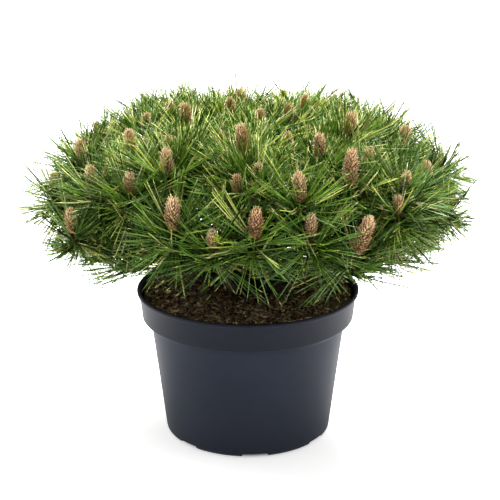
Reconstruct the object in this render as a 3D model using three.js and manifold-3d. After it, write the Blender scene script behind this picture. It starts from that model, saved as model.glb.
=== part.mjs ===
// Dwarf scots pine, wide and low, growing in a round nursery pot.
// Millimetres, +Z up. The origin is the middle of the pot's flat underside.
// The front is the -Y side, and azimuths are degrees from the front, positive towards +X.

import * as THREE from 'three';
import { mergeVertices } from 'three/addons/utils/BufferGeometryUtils.js';
import Module from 'manifold-3d';

const wasm = await Module();
wasm.setup();

// Driving dimensions

const gap = 0.3;
const boughGap = 0.4;
const mergeTolerance = 1e-5;
const searchSteps = 30;

const rimRadius = 111.6;
const potHeight = 151.5;
const lipDepth = 4;
const bandRadiusTop = 109;
const bandRadiusFoot = 106.6;
const bandDepth = 29;
const shoulderDepth = 9.5;
const shoulderBulge = 2.5;
const edgeRound = 0.8;
const bodyRadiusTop = 97.3;
const bodyRadiusFoot = 83.8;
const bodyFootHeight = 5.5;
const footRadius = 76.5;
const wall = 2.2;
const floorThickness = 7;
const potFacets = 42;

const notchCount = 7;
const notchFirstAzimuth = 5;
const notchWidthFoot = 28;
const notchWidthTop = 24;
const notchHeight = 5;
const notchInnerRadius = 66;
const cutMargin = 1;

const soilBelowRim = 6;
const soilMound = 3;
const soilMoundRadius = 34;

const trunkFootRadius = 13.5;
const trunkFlareRadius = 18;
const trunkFlareHeight = 10;
const trunkTipRadius = 4.2;
const trunkTipHeight = 288;
const trunkLean = new THREE.Vector2(3, -6);
const trunkBendShare = 0.33;
const trunkSides = 10;
const trunkSteps = 9;

// The candles stand on a dome, the shell: a flattened superellipsoid above its waist
const shellHalfWidth = 191;
const shellHalfDepth = 184;
const shellTop = 321;
const shellWaist = 217;
const shellPower = 2.35;
const shellTilt = 0.02;

// Candles that stand at the front, by their share of the shell's half width and by azimuth
const seenCandles = [
  { share: 0.98, large: [-59, 35], small: [-88, -10, 84] },
  { share: 0.94, large: [-22, 2], small: [18, 49, 97] },
  { share: 0.91, large: [76], small: [58] },
  { share: 0.84, large: [-81, 16], small: [-41] },
  { share: 0.79, large: [37], small: [-4] },
  { share: 0.72, large: [-31], small: [5] },
  { share: 0.65, large: [-55, 33], small: [105] },
  { share: 0.56, large: [-2, 64], small: [-93, -43, 123] },
  { share: 0.38, large: [-61], small: [137] },
  { share: 0.2, large: [12], small: [-150] },
];
const shootSpacing = 40;
const shootTries = 700;
const rimShare = 0.985;
const skirtCount = 14;
const skirtShare = 0.8;
const skirtHeight = 208;
const skirtHeightSpread = 12;
const skirtWander = 0.5;

// Degrees that a shoot's tip leans outwards from the vertical
const rimLean = 15;
const skirtLean = 62;
const leanSpread = 12;

// The trunk's whorls of boughs, from the soil up, and the places of their tips
const whorls = [
  { name: 'low', count: 9, start: 34, roots: [155, 167], rootRadius: 5, share: 0.6, tipHeight: 208, sag: 4 },
  { name: 'middle', count: 7, start: 45, roots: [187, 199], rootRadius: 4.2, share: 0.47, tipHeight: 250, sag: 0 },
  { name: 'upper', count: 4, start: 45, roots: [222, 230], rootRadius: 3.4, share: 0.36, tipHeight: 282, sag: 0 },
];
const boughTipRadius = 2.9;
const boughSides = 6;
const boughSteps = 5;
const boughWander = 7;

// How far along and how far up a bough has got at its two bends, as shares of its whole way
const boughBends = [{ along: 0.4, up: 0.08 }, { along: 0.78, up: 0.45 }];

const stemRootRadius = 2.7;
const forkStep = 3;
const stemStartPull = 0.2;
const stemEndPull = 0.35;
const stemMiddleShare = 0.55;
const coreRootRadius = 2.6;
const coreTipRadius = 3.6;
const coreLength = 34;
const coreBands = 4;
const shootSides = 6;

const needleLength = 50;
const needleSpread = 0.16;
const needleFan = [112, 88, 64, 40];
const needleBandShare = [1, 1, 0.94, 0.8];
const needleJitter = 9;
const needleTwist = 0.15;
const needleDroop = 0.03;
const needleShortenings = [1, 0.8, 0.62, 0.46];
const needleClearance = 0.5;
const needleSampleStep = 3;
const needleRootZone = 13;

// The crown's underside rises outwards from the trunk, and no needle hangs below it
const undersideHeight = 160;
const undersideRise = 0.17;

const candleLarge = 33;
const candleSmall = 21;
const budLength = 9;
const candleProfile = [[0.12, 0.2], [0.38, 0.27], [0.72, 0.2]];

// Seeded numbers, the same each time for the same key
function noise(a, b, c) {
  const wave = Math.sin(a * 12.9898 + b * 78.233 + c * 37.719) * 43758.5453;
  return wave - Math.floor(wave);
}

function around(reach, azimuth, height) {
  const angle = THREE.MathUtils.degToRad(azimuth);
  return new THREE.Vector3(reach * Math.sin(angle), -reach * Math.cos(angle), height);
}

function shellPoint(share, azimuth) {
  const point = around(share, azimuth, 0);
  const rise = (1 - share ** shellPower) ** (1 / shellPower);
  return new THREE.Vector3(
    point.x * shellHalfWidth,
    point.y * shellHalfDepth,
    shellWaist + (shellTop - shellWaist) * rise + point.x * shellHalfWidth * shellTilt,
  );
}

// A direction that leans from the vertical towards an azimuth
function leaning(lean, azimuth) {
  const tilt = THREE.MathUtils.degToRad(lean);
  return around(Math.sin(tilt), azimuth, Math.cos(tilt));
}

// Closed bodies to manifold-3d and back
function toSolid(geometry) {
  const bare = geometry.clone();
  bare.deleteAttribute('normal');
  bare.deleteAttribute('uv');
  const joined = mergeVertices(bare, mergeTolerance);
  return new wasm.Manifold(new wasm.Mesh({
    numProp: 3,
    vertProperties: new Float32Array(joined.attributes.position.array),
    triVerts: new Uint32Array(joined.index.array),
  }));
}

function toGeometry(solid) {
  const mesh = solid.getMesh();
  const geometry = new THREE.BufferGeometry();
  geometry.setAttribute('position', new THREE.BufferAttribute(mesh.vertProperties, 3));
  geometry.setIndex(new THREE.BufferAttribute(mesh.triVerts, 1));
  geometry.computeVertexNormals();
  return geometry;
}

// Two directions across a tangent, the first one as near as it can be to a given vector
function crossAxes(tangent, across) {
  const first = across.clone().addScaledVector(tangent, -across.dot(tangent)).normalize();
  return [first, new THREE.Vector3().crossVectors(tangent, first)];
}

// A round limb along a curve, made by bending a closed cylinder
function limb(curve, radiusAt, across, sides, steps) {
  const geometry = new THREE.CylinderGeometry(1, 1, 1, sides, steps);
  const position = geometry.attributes.position;
  for (let i = 0; i < position.count; i++) {
    const t = position.getY(i) + 0.5;
    const [first, second] = crossAxes(curve.getTangent(t), across);
    const point = curve.getPoint(t)
      .addScaledVector(first, position.getX(i) * radiusAt(t))
      .addScaledVector(second, -position.getZ(i) * radiusAt(t));
    position.setXYZ(i, point.x, point.y, point.z);
  }
  return geometry;
}

// The pot's outline, from the middle of the underside up the outside and down the inside
function potOutline() {
  const bandFoot = potHeight - bandDepth;
  const bodyTop = bandFoot - shoulderDepth;
  const lipFoot = potHeight - lipDepth;
  return [
    [0, 0],
    [footRadius, 0],
    [bodyRadiusFoot, bodyFootHeight],
    [bodyRadiusTop, bodyTop],
    [bodyRadiusTop + shoulderBulge, bodyTop + shoulderDepth / 2],
    [bandRadiusFoot - edgeRound, bandFoot - edgeRound],
    [bandRadiusFoot, bandFoot],
    [bandRadiusTop, lipFoot - edgeRound],
    [rimRadius, lipFoot],
    [rimRadius, potHeight - edgeRound],
    [rimRadius - edgeRound, potHeight],
    [bandRadiusTop - wall, potHeight],
    [bandRadiusFoot - wall, bandFoot],
    [bodyRadiusTop - wall, bodyTop],
    [bodyRadiusFoot - wall, floorThickness],
    [0, floorThickness],
  ].map(([radius, height]) => new THREE.Vector2(radius, height));
}

// LatheGeometry turns about Y, so its bodies are stood up
function turned(points) {
  const geometry = new THREE.LatheGeometry(points, potFacets);
  geometry.rotateX(Math.PI / 2);
  return geometry;
}

function drainNotch(azimuth) {
  const shape = new THREE.Shape();
  shape.moveTo(-notchWidthFoot / 2, -cutMargin);
  shape.lineTo(notchWidthFoot / 2, -cutMargin);
  shape.lineTo(notchWidthTop / 2, notchHeight);
  shape.lineTo(-notchWidthTop / 2, notchHeight);
  const depth = rimRadius - notchInnerRadius;
  const geometry = new THREE.ExtrudeGeometry(shape, { depth, bevelEnabled: false });
  geometry.rotateX(Math.PI / 2);
  geometry.translate(0, -notchInnerRadius, 0);
  geometry.rotateZ(THREE.MathUtils.degToRad(azimuth));
  return geometry;
}

function potBody() {
  let body = toSolid(turned(potOutline()));
  for (let i = 0; i < notchCount; i++) {
    const azimuth = notchFirstAzimuth + (360 / notchCount) * i;
    body = body.subtract(toSolid(drainNotch(azimuth)));
  }
  return toGeometry(body);
}

function soilBody() {
  const bandFoot = potHeight - bandDepth;
  const edgeHeight = potHeight - soilBelowRim;
  const inset = wall + gap;
  const points = [
    [0, floorThickness + gap],
    [bodyRadiusFoot - inset, floorThickness + gap],
    [bodyRadiusTop - inset, bandFoot - shoulderDepth],
    [bandRadiusFoot - inset, bandFoot + gap],
    [bandRadiusFoot - inset, edgeHeight],
    [soilMoundRadius, edgeHeight + soilMound],
    [0, edgeHeight + soilMound],
  ];
  return turned(points.map(([radius, height]) => new THREE.Vector2(radius, height)));
}

// The trunk's line leans a little, and its foot is cut flat just above the soil
const trunkFoot = potHeight - soilBelowRim + soilMound + gap;
const trunkBend = (trunkTipHeight - trunkFoot) * trunkBendShare;
const trunkCurve = new THREE.CubicBezierCurve3(
  new THREE.Vector3(0, 0, trunkFoot),
  new THREE.Vector3(0, 0, trunkFoot + trunkBend),
  new THREE.Vector3(trunkLean.x, trunkLean.y, trunkTipHeight - trunkBend),
  new THREE.Vector3(trunkLean.x, trunkLean.y, trunkTipHeight),
);

function trunkRadius(t) {
  const height = t * (trunkTipHeight - trunkFoot);
  const flare = Math.max(0, 1 - height / trunkFlareHeight) ** 2;
  const straight = THREE.MathUtils.lerp(trunkFootRadius, trunkTipRadius, t);
  return straight + (trunkFlareRadius - trunkFootRadius) * flare;
}

function trunkBody(extra) {
  const across = new THREE.Vector3(1, 0, 0);
  return limb(trunkCurve, (t) => trunkRadius(t) + extra, across, trunkSides, trunkSteps);
}

function trunkPointAt(height) {
  let low = 0;
  let high = 1;
  for (let i = 0; i < searchSteps; i++) {
    const middle = (low + high) / 2;
    if (trunkCurve.getPoint(middle).z < height) low = middle;
    else high = middle;
  }
  return trunkCurve.getPoint(low);
}

// Boughs leave the trunk in whorls, run outwards and then rise to their tips
function planBoughs() {
  const boughs = [];
  whorls.forEach((whorl, level) => {
    for (let i = 0; i < whorl.count; i++) {
      const turn = (noise(level, i, 1) - 0.5) * boughWander * 2;
      const azimuth = whorl.start + (360 / whorl.count) * i + turn;
      const root = trunkPointAt(whorl.roots[i % whorl.roots.length]);
      const lift = (noise(level, i, 2) - 0.5) * boughWander;
      const flat = around(whorl.share, azimuth, 0);
      const tip = new THREE.Vector3(
        flat.x * shellHalfWidth,
        flat.y * shellHalfDepth,
        whorl.tipHeight + lift,
      );
      const way = tip.clone().sub(root);
      const [near, far] = boughBends.map((bend) => new THREE.Vector3(
        root.x + way.x * bend.along,
        root.y + way.y * bend.along,
        root.z + way.z * bend.up - whorl.sag,
      ));
      const curve = new THREE.CubicBezierCurve3(root, near, far, tip);
      boughs.push({
        name: `bough_${whorl.name}_${i + 1}`,
        massName: `needles_${whorl.name}_${i + 1}`,
        curve,
        rootRadius: whorl.rootRadius,
        across: around(1, azimuth + 90, 0),
        tip,
        heading: curve.getTangent(1),
      });
    }
  });
  return boughs;
}

function boughRadius(bough, t) {
  return THREE.MathUtils.lerp(bough.rootRadius, boughTipRadius, t);
}

function boughBody(bough, clearTrunk) {
  const tube = limb(bough.curve, (t) => boughRadius(bough, t), bough.across, boughSides, boughSteps);
  return toGeometry(toSolid(tube).subtract(clearTrunk));
}

// Where shoots end: the candles that show, then others spread evenly over the rest of the shell
function planShoots() {
  const shoots = [];
  const addShoot = (base, azimuth, meanLean, candle) => {
    const id = shoots.length;
    const lean = meanLean + (noise(id, 5, 1) - 0.5) * leanSpread;
    shoots.push({ id, base, azimuth, lean, candle });
  };
  const addOnShell = (share, azimuth, candle) => {
    addShoot(shellPoint(share, azimuth), azimuth, rimLean * share, candle);
  };
  for (const ring of seenCandles) {
    ring.large.forEach((azimuth) => addOnShell(ring.share, azimuth, candleLarge));
    ring.small.forEach((azimuth) => addOnShell(ring.share, azimuth, candleSmall));
  }
  for (let i = 0; i < shootTries; i++) {
    const share = Math.sqrt(noise(i, 3, 1)) * rimShare;
    const azimuth = 360 * noise(i, 3, 2) - 180;
    const base = shellPoint(share, azimuth);
    if (shoots.every((other) => other.base.distanceTo(base) > shootSpacing)) {
      addOnShell(share, azimuth, THREE.MathUtils.lerp(candleSmall, candleLarge, noise(i, 3, 3)));
    }
  }
  for (let i = 0; i < skirtCount; i++) {
    const azimuth = (360 / skirtCount) * (i + skirtWander * noise(i, 4, 1));
    const flat = around(skirtShare, azimuth, 0);
    const height = skirtHeight + (noise(i, 4, 2) - 0.5) * skirtHeightSpread;
    const base = new THREE.Vector3(flat.x * shellHalfWidth, flat.y * shellHalfDepth, height);
    addShoot(base, azimuth, skirtLean, budLength);
  }
  return shoots;
}

// Each shoot springs from the limb whose tip is nearest: a bough, or the trunk for the top ones
function giveStems(shoots, limbs) {
  for (const shoot of shoots) {
    let nearest = limbs[0];
    for (const other of limbs) {
      if (other.tip.distanceTo(shoot.base) < nearest.tip.distanceTo(shoot.base)) nearest = other;
    }
    const fork = gap + forkStep * nearest.shoots.length;
    const root = nearest.tip.clone().addScaledVector(nearest.heading, fork);
    const reach = root.distanceTo(shoot.base);
    shoot.across = around(1, shoot.azimuth + 90, 0);
    shoot.coreStart = 1 - coreLength / reach;
    shoot.curve = new THREE.CubicBezierCurve3(
      root,
      root.clone().addScaledVector(nearest.heading, reach * stemStartPull),
      shoot.base.clone().addScaledVector(leaning(shoot.lean, shoot.azimuth), -reach * stemEndPull),
      shoot.base,
    );
    nearest.shoots.push(shoot);
  }
}

// The rings of a shoot: bare stem, the core that needles stand out of, then the candle
function shootRings(shoot) {
  const rings = [];
  const addRing = (center, tangent, radius) => {
    const [first, second] = crossAxes(tangent, shoot.across);
    const corners = [];
    for (let j = 0; j < shootSides; j++) {
      const angle = (2 * Math.PI * j) / shootSides;
      corners.push(center.clone()
        .addScaledVector(first, radius * Math.cos(angle))
        .addScaledVector(second, radius * Math.sin(angle)));
    }
    rings.push({ center, tangent, radius, corners });
  };
  const addOnCurve = (t, radius) => addRing(shoot.curve.getPoint(t), shoot.curve.getTangent(t), radius);
  addOnCurve(0, stemRootRadius);
  addOnCurve(shoot.coreStart * stemMiddleShare, stemRootRadius);
  for (let i = 0; i <= coreBands; i++) {
    const t = THREE.MathUtils.lerp(shoot.coreStart, 1, i / coreBands);
    addOnCurve(t, THREE.MathUtils.lerp(coreRootRadius, coreTipRadius, i / coreBands));
  }
  const heading = shoot.curve.getTangent(1);
  for (const [share, width] of candleProfile) {
    const center = shoot.base.clone().addScaledVector(heading, shoot.candle * share);
    addRing(center, heading, Math.max(shoot.candle * width, coreTipRadius));
  }
  shoot.candleTip = shoot.base.clone().addScaledVector(heading, shoot.candle);
  return rings;
}

// Tapered rods that needles must stay clear of
function rod(start, end, startRadius, endRadius, owner) {
  return { line: new THREE.Line3(start, end), startRadius, endRadius, owner };
}

function curveRods(curve, radiusAt, steps) {
  const rods = [];
  for (let i = 0; i < steps; i++) {
    const t = i / steps;
    const u = (i + 1) / steps;
    rods.push(rod(curve.getPoint(t), curve.getPoint(u), radiusAt(t), radiusAt(u), null));
  }
  return rods;
}

function shootRods(shoot) {
  const rods = [];
  for (let i = 1; i < shoot.rings.length; i++) {
    const [low, high] = [shoot.rings[i - 1], shoot.rings[i]];
    rods.push(rod(low.center, high.center, low.radius, high.radius, shoot));
  }
  const last = shoot.rings[shoot.rings.length - 1];
  rods.push(rod(last.center, shoot.candleTip, last.radius, 0, shoot));
  return rods;
}

// True where a needle touches nothing; near its root it may lie against its own shoot
function needleIsClear(needle, rods) {
  const length = needle.line.distance();
  const point = new THREE.Vector3();
  const nearest = new THREE.Vector3();
  for (let along = 0; along <= length; along += needleSampleStep) {
    const share = along / length;
    needle.line.at(share, point);
    if (point.z < undersideHeight + undersideRise * Math.hypot(point.x, point.y)) return false;
    const radius = needle.startRadius * (1 - share);
    for (const other of rods) {
      if (other.owner === needle.owner && along < needleRootZone) continue;
      const t = other.line.closestPointToPointParameter(point, true);
      other.line.at(t, nearest);
      const otherRadius = THREE.MathUtils.lerp(other.startRadius, other.endRadius, t);
      if (nearest.distanceTo(point) < radius + otherRadius + needleClearance) return false;
    }
  }
  return true;
}

function plannedNeedle(shoot, band, side) {
  const low = shoot.rings[2 + band];
  const high = shoot.rings[3 + band];
  const next = (side + 1) % shootSides;
  const root = new THREE.Vector3()
    .add(low.corners[side]).add(low.corners[next])
    .add(high.corners[side]).add(high.corners[next])
    .multiplyScalar(0.25);
  const middle = low.center.clone().lerp(high.center, 0.5);
  const axis = high.center.clone().sub(low.center).normalize();
  const outward = root.clone().sub(middle).normalize();
  const swing = (noise(shoot.id, band, side + 10) - 0.5) * 2 * needleJitter;
  const fan = THREE.MathUtils.degToRad(needleFan[band] + swing);
  const heading = axis.multiplyScalar(Math.cos(fan)).addScaledVector(outward, Math.sin(fan));
  const twist = (noise(shoot.id, band, side + 20) - 0.5) * 2 * needleTwist;
  heading.addScaledVector(new THREE.Vector3().crossVectors(outward, heading), twist);
  heading.z -= needleDroop;
  heading.normalize();
  const growth = 1 + (noise(shoot.id, band, side + 30) - 0.5) * 2 * needleSpread;
  const length = needleLength * needleBandShare[band] * growth;
  const rootRadius = low.corners[side].distanceTo(high.corners[next]) / 2;
  return { root, heading, length, rootRadius };
}

// Needles are given out band by band to all shoots in turn, so that every side gets its share
function growNeedles(shoots, rods) {
  for (let band = coreBands - 1; band >= 0; band--) {
    for (let side = 0; side < shootSides; side++) {
      for (const shoot of shoots) {
        const { root, heading, length, rootRadius } = plannedNeedle(shoot, band, side);
        for (const shortening of needleShortenings) {
          const tip = root.clone().addScaledVector(heading, length * shortening);
          const needle = rod(root, tip, rootRadius, 0, shoot);
          if (needleIsClear(needle, rods)) {
            shoot.needles.set(`${band},${side}`, tip);
            rods.push(needle);
            break;
          }
        }
      }
    }
  }
}

// One closed body: ring by ring, with a needle drawn out of each face of the core that has one
function shootBody(shoot) {
  const points = [];
  const faces = [];
  const addPoint = (point) => points.push(point.x, point.y, point.z) / 3 - 1;
  const rows = shoot.rings.map((ring) => ring.corners.map(addPoint));
  for (let row = 0; row + 1 < rows.length; row++) {
    for (let side = 0; side < shootSides; side++) {
      const next = (side + 1) % shootSides;
      const [a, b] = [rows[row][side], rows[row][next]];
      const [c, d] = [rows[row + 1][next], rows[row + 1][side]];
      const tip = shoot.needles.get(`${row - 2},${side}`);
      if (tip) {
        const apex = addPoint(tip);
        faces.push(a, b, apex, b, c, apex, c, d, apex, d, a, apex);
      } else {
        faces.push(a, b, c, a, c, d);
      }
    }
  }
  const top = addPoint(shoot.candleTip);
  const last = rows[rows.length - 1];
  for (let side = 0; side < shootSides; side++) {
    const next = (side + 1) % shootSides;
    faces.push(last[side], last[next], top);
    if (side > 1) faces.push(rows[0][0], rows[0][side], rows[0][side - 1]);
  }
  const geometry = new THREE.BufferGeometry();
  geometry.setAttribute('position', new THREE.Float32BufferAttribute(points, 3));
  geometry.setIndex(faces);
  return geometry;
}

function massBody(shoots) {
  let body = toSolid(shootBody(shoots[0]));
  for (const shoot of shoots.slice(1)) {
    body = body.add(toSolid(shootBody(shoot)));
  }
  return toGeometry(body);
}

// Materials

const plastic = new THREE.MeshStandardMaterial({ color: 0x33363f, roughness: 0.45, metalness: 0 });
const peat = new THREE.MeshStandardMaterial({ color: 0x2c2419, roughness: 1, metalness: 0 });
const bark = new THREE.MeshStandardMaterial({ color: 0x4a3524, roughness: 0.9, metalness: 0 });
const needleGreen = new THREE.MeshStandardMaterial({ color: 0x55702a, roughness: 0.55, metalness: 0 });

const plant = new THREE.Group();

function addMesh(name, geometry, material) {
  const mesh = new THREE.Mesh(geometry, material.clone());
  mesh.name = name;
  plant.add(mesh);
}

// The plant in its pot

addMesh('pot', potBody(), plastic);
addMesh('soil', soilBody(), peat);
addMesh('trunk', trunkBody(0), bark);

const boughs = planBoughs();
const clearTrunk = toSolid(trunkBody(boughGap));
boughs.forEach((bough) => addMesh(bough.name, boughBody(bough, clearTrunk), bark));

const leader = { massName: 'needles_leader', tip: trunkCurve.getPoint(1), heading: trunkCurve.getTangent(1) };
const limbs = [...boughs, leader];
limbs.forEach((each) => { each.shoots = []; });

const shoots = planShoots();
giveStems(shoots, limbs);
const rods = [
  ...curveRods(trunkCurve, trunkRadius, trunkSteps),
  ...boughs.flatMap((bough) => curveRods(bough.curve, (t) => boughRadius(bough, t), boughSteps * 2)),
];
for (const shoot of shoots) {
  shoot.rings = shootRings(shoot);
  shoot.needles = new Map();
  rods.push(...shootRods(shoot));
}
growNeedles(shoots, rods);
limbs.forEach((each) => addMesh(each.massName, massBody(each.shoots), needleGreen));

export default plant;
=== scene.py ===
"""The looks of the potted dwarf scots pine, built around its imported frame.

Lengths in the plan of the plant are millimetres, as on the drawing, and become metres where a mesh is made.
Azimuths are degrees from the front, which is the -Y side, positive towards +X.
"""

import math
from types import SimpleNamespace

import bmesh
import bpy
import numpy as np
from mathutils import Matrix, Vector


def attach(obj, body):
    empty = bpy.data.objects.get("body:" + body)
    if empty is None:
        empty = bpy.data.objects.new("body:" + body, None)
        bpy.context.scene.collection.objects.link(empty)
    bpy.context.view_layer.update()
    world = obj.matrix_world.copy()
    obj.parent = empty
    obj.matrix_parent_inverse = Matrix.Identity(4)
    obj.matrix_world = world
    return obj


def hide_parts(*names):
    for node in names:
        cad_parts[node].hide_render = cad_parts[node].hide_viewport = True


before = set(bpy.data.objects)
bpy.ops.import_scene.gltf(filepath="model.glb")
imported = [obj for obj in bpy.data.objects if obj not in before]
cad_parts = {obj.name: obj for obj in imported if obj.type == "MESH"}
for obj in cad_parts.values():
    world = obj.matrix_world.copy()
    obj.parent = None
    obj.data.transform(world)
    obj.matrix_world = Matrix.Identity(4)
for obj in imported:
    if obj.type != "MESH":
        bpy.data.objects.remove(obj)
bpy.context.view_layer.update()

MM = 0.001

# The camera stands where the photo's did, worked out from the pot's rim and foot
CAMERA_PLACE = (2.2, -1400, 642.7)
CAMERA_PITCH = 17.95
CAMERA_LENS = 106.0
SENSOR_WIDTH = 36
PHOTO_SIZE = 500

GOLDEN = math.radians(137.50776)

# The pot and its soil
POT_FACETS = 144
SHARP_ANGLE = math.radians(38)
RIM_RADIUS = 111.6
POT_HEIGHT = 151.5
LIP_DEPTH = 4
BAND_RADIUS_TOP = 109
BAND_RADIUS_FOOT = 106.6
BAND_DEPTH = 29
BAND_ROUNDING = 2.6
BAND_OVERHANG = 1.4
SHOULDER_DEPTH = 9.5
# Painted shade: how dark the band's colour is made under the crown's overhang
BAND_PAINTED_SHADE = 0.55
BODY_RADIUS_TOP = 97.3
BODY_RADIUS_FOOT = 83.8
BODY_FOOT_HEIGHT = 5.5
FOOT_RADIUS = 76.5
FOOT_ROUNDING = 1
WALL = 2.2
FLOOR_THICKNESS = 7
NOTCH_COUNT = 7
NOTCH_FIRST_AZIMUTH = 5
NOTCH_WIDTH_FOOT = 28
NOTCH_WIDTH_TOP = 24
NOTCH_HEIGHT = 5
NOTCH_CORNER = 1.2
NOTCH_SPLAY = 0.4
NOTCH_OVERLAP = 1
NOTCH_INNER_RADIUS = 66
SOIL_BELOW_RIM = 6
SOIL_MOUND = 3
SOIL_MOUND_RADIUS = 34
SOIL_RINGS = 84
SOIL_FACETS = 180
SOIL_LUMPS = 0.55
SOIL_MIDDLE_AREA = 0.0004
GAP = 0.3

# The trunk
TRUNK_FOOT_RADIUS = 13.5
TRUNK_FLARE_RADIUS = 18
TRUNK_FLARE_HEIGHT = 10
TRUNK_TIP_RADIUS = 4.2
TRUNK_TIP_HEIGHT = 288
TRUNK_LEAN = (3, -6)
TRUNK_BEND_SHARE = 0.33
TRUNK_SIDES = 40
TRUNK_RINGS = 131
TRUNK_BARK = (1.1, 9, 0.4)

# The shell that the candles stand on
SHELL_HALF_WIDTH = 191
SHELL_HALF_DEPTH = 184
SHELL_TOP = 321
SHELL_WAIST = 217
SHELL_POWER = 2.35
SHELL_TILT = 0.02
SEEN_CANDLES = [
    (0.98, [-59, 35], [-88, -10, 84]),
    (0.94, [-22, 2], [18, 49, 97]),
    (0.91, [76], [58]),
    (0.84, [-81, 16], [-41]),
    (0.79, [37], [-4]),
    (0.72, [-31], [5]),
    (0.65, [-55, 33], [105]),
    (0.56, [-2, 64], [-93, -43, 123]),
    (0.38, [-61], [137]),
    (0.2, [12], [-150]),
]
# Where the photo shows each seen candle, in its pixels, in the order of the list above: foot, then tip
CANDLE_PLACES = [
    (72, 232.5, 70, 207), (357.5, 254, 371, 215), (56, 195, 53, 171), (213, 247, 212, 228.5),
    (451, 207, 454, 192), (172.5, 230, 172.5, 195.5), (255.5, 238, 256.5, 207), (311, 235, 311.5, 212.5),
    (398, 213, 397.5, 193.5), (442, 165, 442, 151), (425, 187, 427, 159), (404, 191, 407.5, 170),
    (82.5, 163, 79, 137.5), (300, 203, 298, 170), (129, 195, 129, 171), (349, 188, 352.5, 147.5),
    (237.5, 192.5, 236.5, 173), (168, 177, 165, 147.5), (259, 180, 257.5, 162), (131.5, 155, 128.5, 127.5),
    (318.5, 158, 320, 131.5), (382, 133, 383, 117), (245, 158, 240, 122.5), (349, 140, 351, 112),
    (145.5, 129, 147.5, 111.5), (170, 146, 168, 134), (338, 117, 337, 104), (187, 127, 184, 101.5),
    (304, 109, 306, 93), (259, 127, 261, 107), (231, 112, 230, 96),
]

# The other shoots: spread over the shell, and below it in a skirt
SHOOT_SPACING = 40
SHOOT_TRIES = 700
RIM_SHARE = 0.985
SKIRT_COUNT = 14
SKIRT_SHARE = 0.8
SKIRT_HEIGHT = 208
SKIRT_HEIGHT_SPREAD = 12
SKIRT_WANDER = 0.5
RIM_LEAN = 15
SKIRT_LEAN = 62
LEAN_SPREAD = 12

# The boughs and the stems on them. Bark is the depth and the pitch of its relief, with a seed last
WHORLS = [
    ("low", dict(count=9, start=34, roots=[155, 167], radius=5, share=0.6, tip=208, sag=4)),
    ("middle", dict(count=7, start=45, roots=[187, 199], radius=4.2, share=0.47, tip=250, sag=0)),
    ("upper", dict(count=4, start=45, roots=[222, 230], radius=3.4, share=0.36, tip=282, sag=0)),
]
BOUGH_SIDES = 16
BOUGH_RINGS = 47
BOUGH_BARK = (0.45, 7)
BOUGH_TIP_RADIUS = 2.9
BOUGH_WANDER = 7
BOUGH_BENDS = [(0.4, 0.08), (0.78, 0.45)]
STEM_START_PULL = 0.2
STEM_END_PULL = 0.35
STEM_FORK_STEP = 3
STEM_SIDES = 8
STEM_RINGS = 21
STEM_BARK = (0.35, 6)
STEM_RADIUS = 2.5
STEM_TAPER = 0.5
CORE_LENGTH = 34

# Needles
NEEDLE_LENGTH = 59
SIDE_NEEDLE_LENGTH = 50
NEEDLE_WIDTH = 0.92
FILL_NEEDLE_WIDTH = 1.05
NEEDLE_WIDTHS = (0.85, 1.15)
NEEDLE_RIDGE = 1.25
TIPPED_SHARE = 0.2

# Where the pairs stand: how many, on which shares of a stem, and how far out of its middle
PAIRS = 190
SKIRT_PAIRS = 130
SIDE_PAIRS = 42
OLD_PAIRS = 20
ROSETTE_LENGTH = 22
ROSETTE_END = 0.995
OLD_LOWEST = 0.1
OLD_REACH = 0.4
SIDE_SPAN = (0.25, 0.99)
SHEATH_STAND_OFF = 1.6

# How the pairs differ: turn and angle on the stem, length by place and by chance
SPIRAL_SPREAD = 0.12
FAN_SPREAD = 6
NEEDLE_SAG = 0.03
LOWEST_LENGTH = 0.98
LENGTH_TAPER = 0.06
SHEATH_LENGTHS = (0.84, 1.14)

# How the two needles of a pair part: angle in degrees, bends as shares of the length, and lengths
PARTING_SPREAD = 0.6
PAIR_ANGLES = (1, 5)
BEND_APART = (-0.03, 0.06)
BEND_UP = (0.1, 0.04)
BEND_ASIDE = 0.03
BEND_DOWN = (-0.02, 0.05)
PAIR_LENGTHS = (0.93, 1.05)

# The crown's underside, that needles keep above: it rises outwards, is hollow over the pot and is lifted
# at the front, for each kind of needles by its own measure
UNDERSIDE_HEIGHT = 140
UNDERSIDE_RISE = 0.23
UNDERSIDE_TILT = -0.012
UNDERSIDE_HOLLOW_REACH = 125
UNDERSIDE_HOLLOW_RISE = 0.32
UNDERSIDE_WISPS = 36
UNDERSIDE_STRAYS = 7
STRAY_SHARE = 0.12
RIM_FRONT_LIFT = 6
HANG_SPREAD = 22
FILL_FRONT_LIFT = 58
SKIRT_FRONT_LIFT = 48

# At the front the skirt has fewer needles, at narrower angles, and some of the hanging needles are left out
SKIRT_CLOSING = 0.55
SKIRT_THINNING = 0.55
FRONT_THINNING = 0.45
HANGING = -0.25

# How needles that would hang too low are turned up: lack as a share of the length
SWEEP_STEPS = 5
SWEEP_OUTWARD = 0.6
SWEEP_LACK = 0.12
MOST_SWEEP = math.radians(36)

# The crown's outside, that needle tips keep to but for stray ones, and how longer ones are drawn back
CROWN_HALF_WIDTH = 232
CROWN_HALF_DEPTH = 218
CROWN_TOP = 341
CROWN_POWER = 3.5
CROWN_WISPS = (0.87, 1.06)
TOP_WISPS = (0.74, 1.11)
TUFT_PART = 0.4
CROWN_STRAYS = 0.16
CROWN_STRAY_SHARE = 0.18
FILL_SETBACK = 0.08
DRAW_BACK_STEPS = 8
DRAW_BACK = 3.5
DRAW_BACK_SHRINK = 0.97
TRIM_STEPS = 6
TRIM_SHRINK = 0.93

# The part of a candle that no needle runs through, and the shares of a needle at which that is looked at
CLEAR_FROM = 2
CLEAR_UP_TO = 0.9
CLEAR_WIDTH = 0.45
CLEAR_PLACES = np.linspace(0.2, 1, 9)

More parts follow.
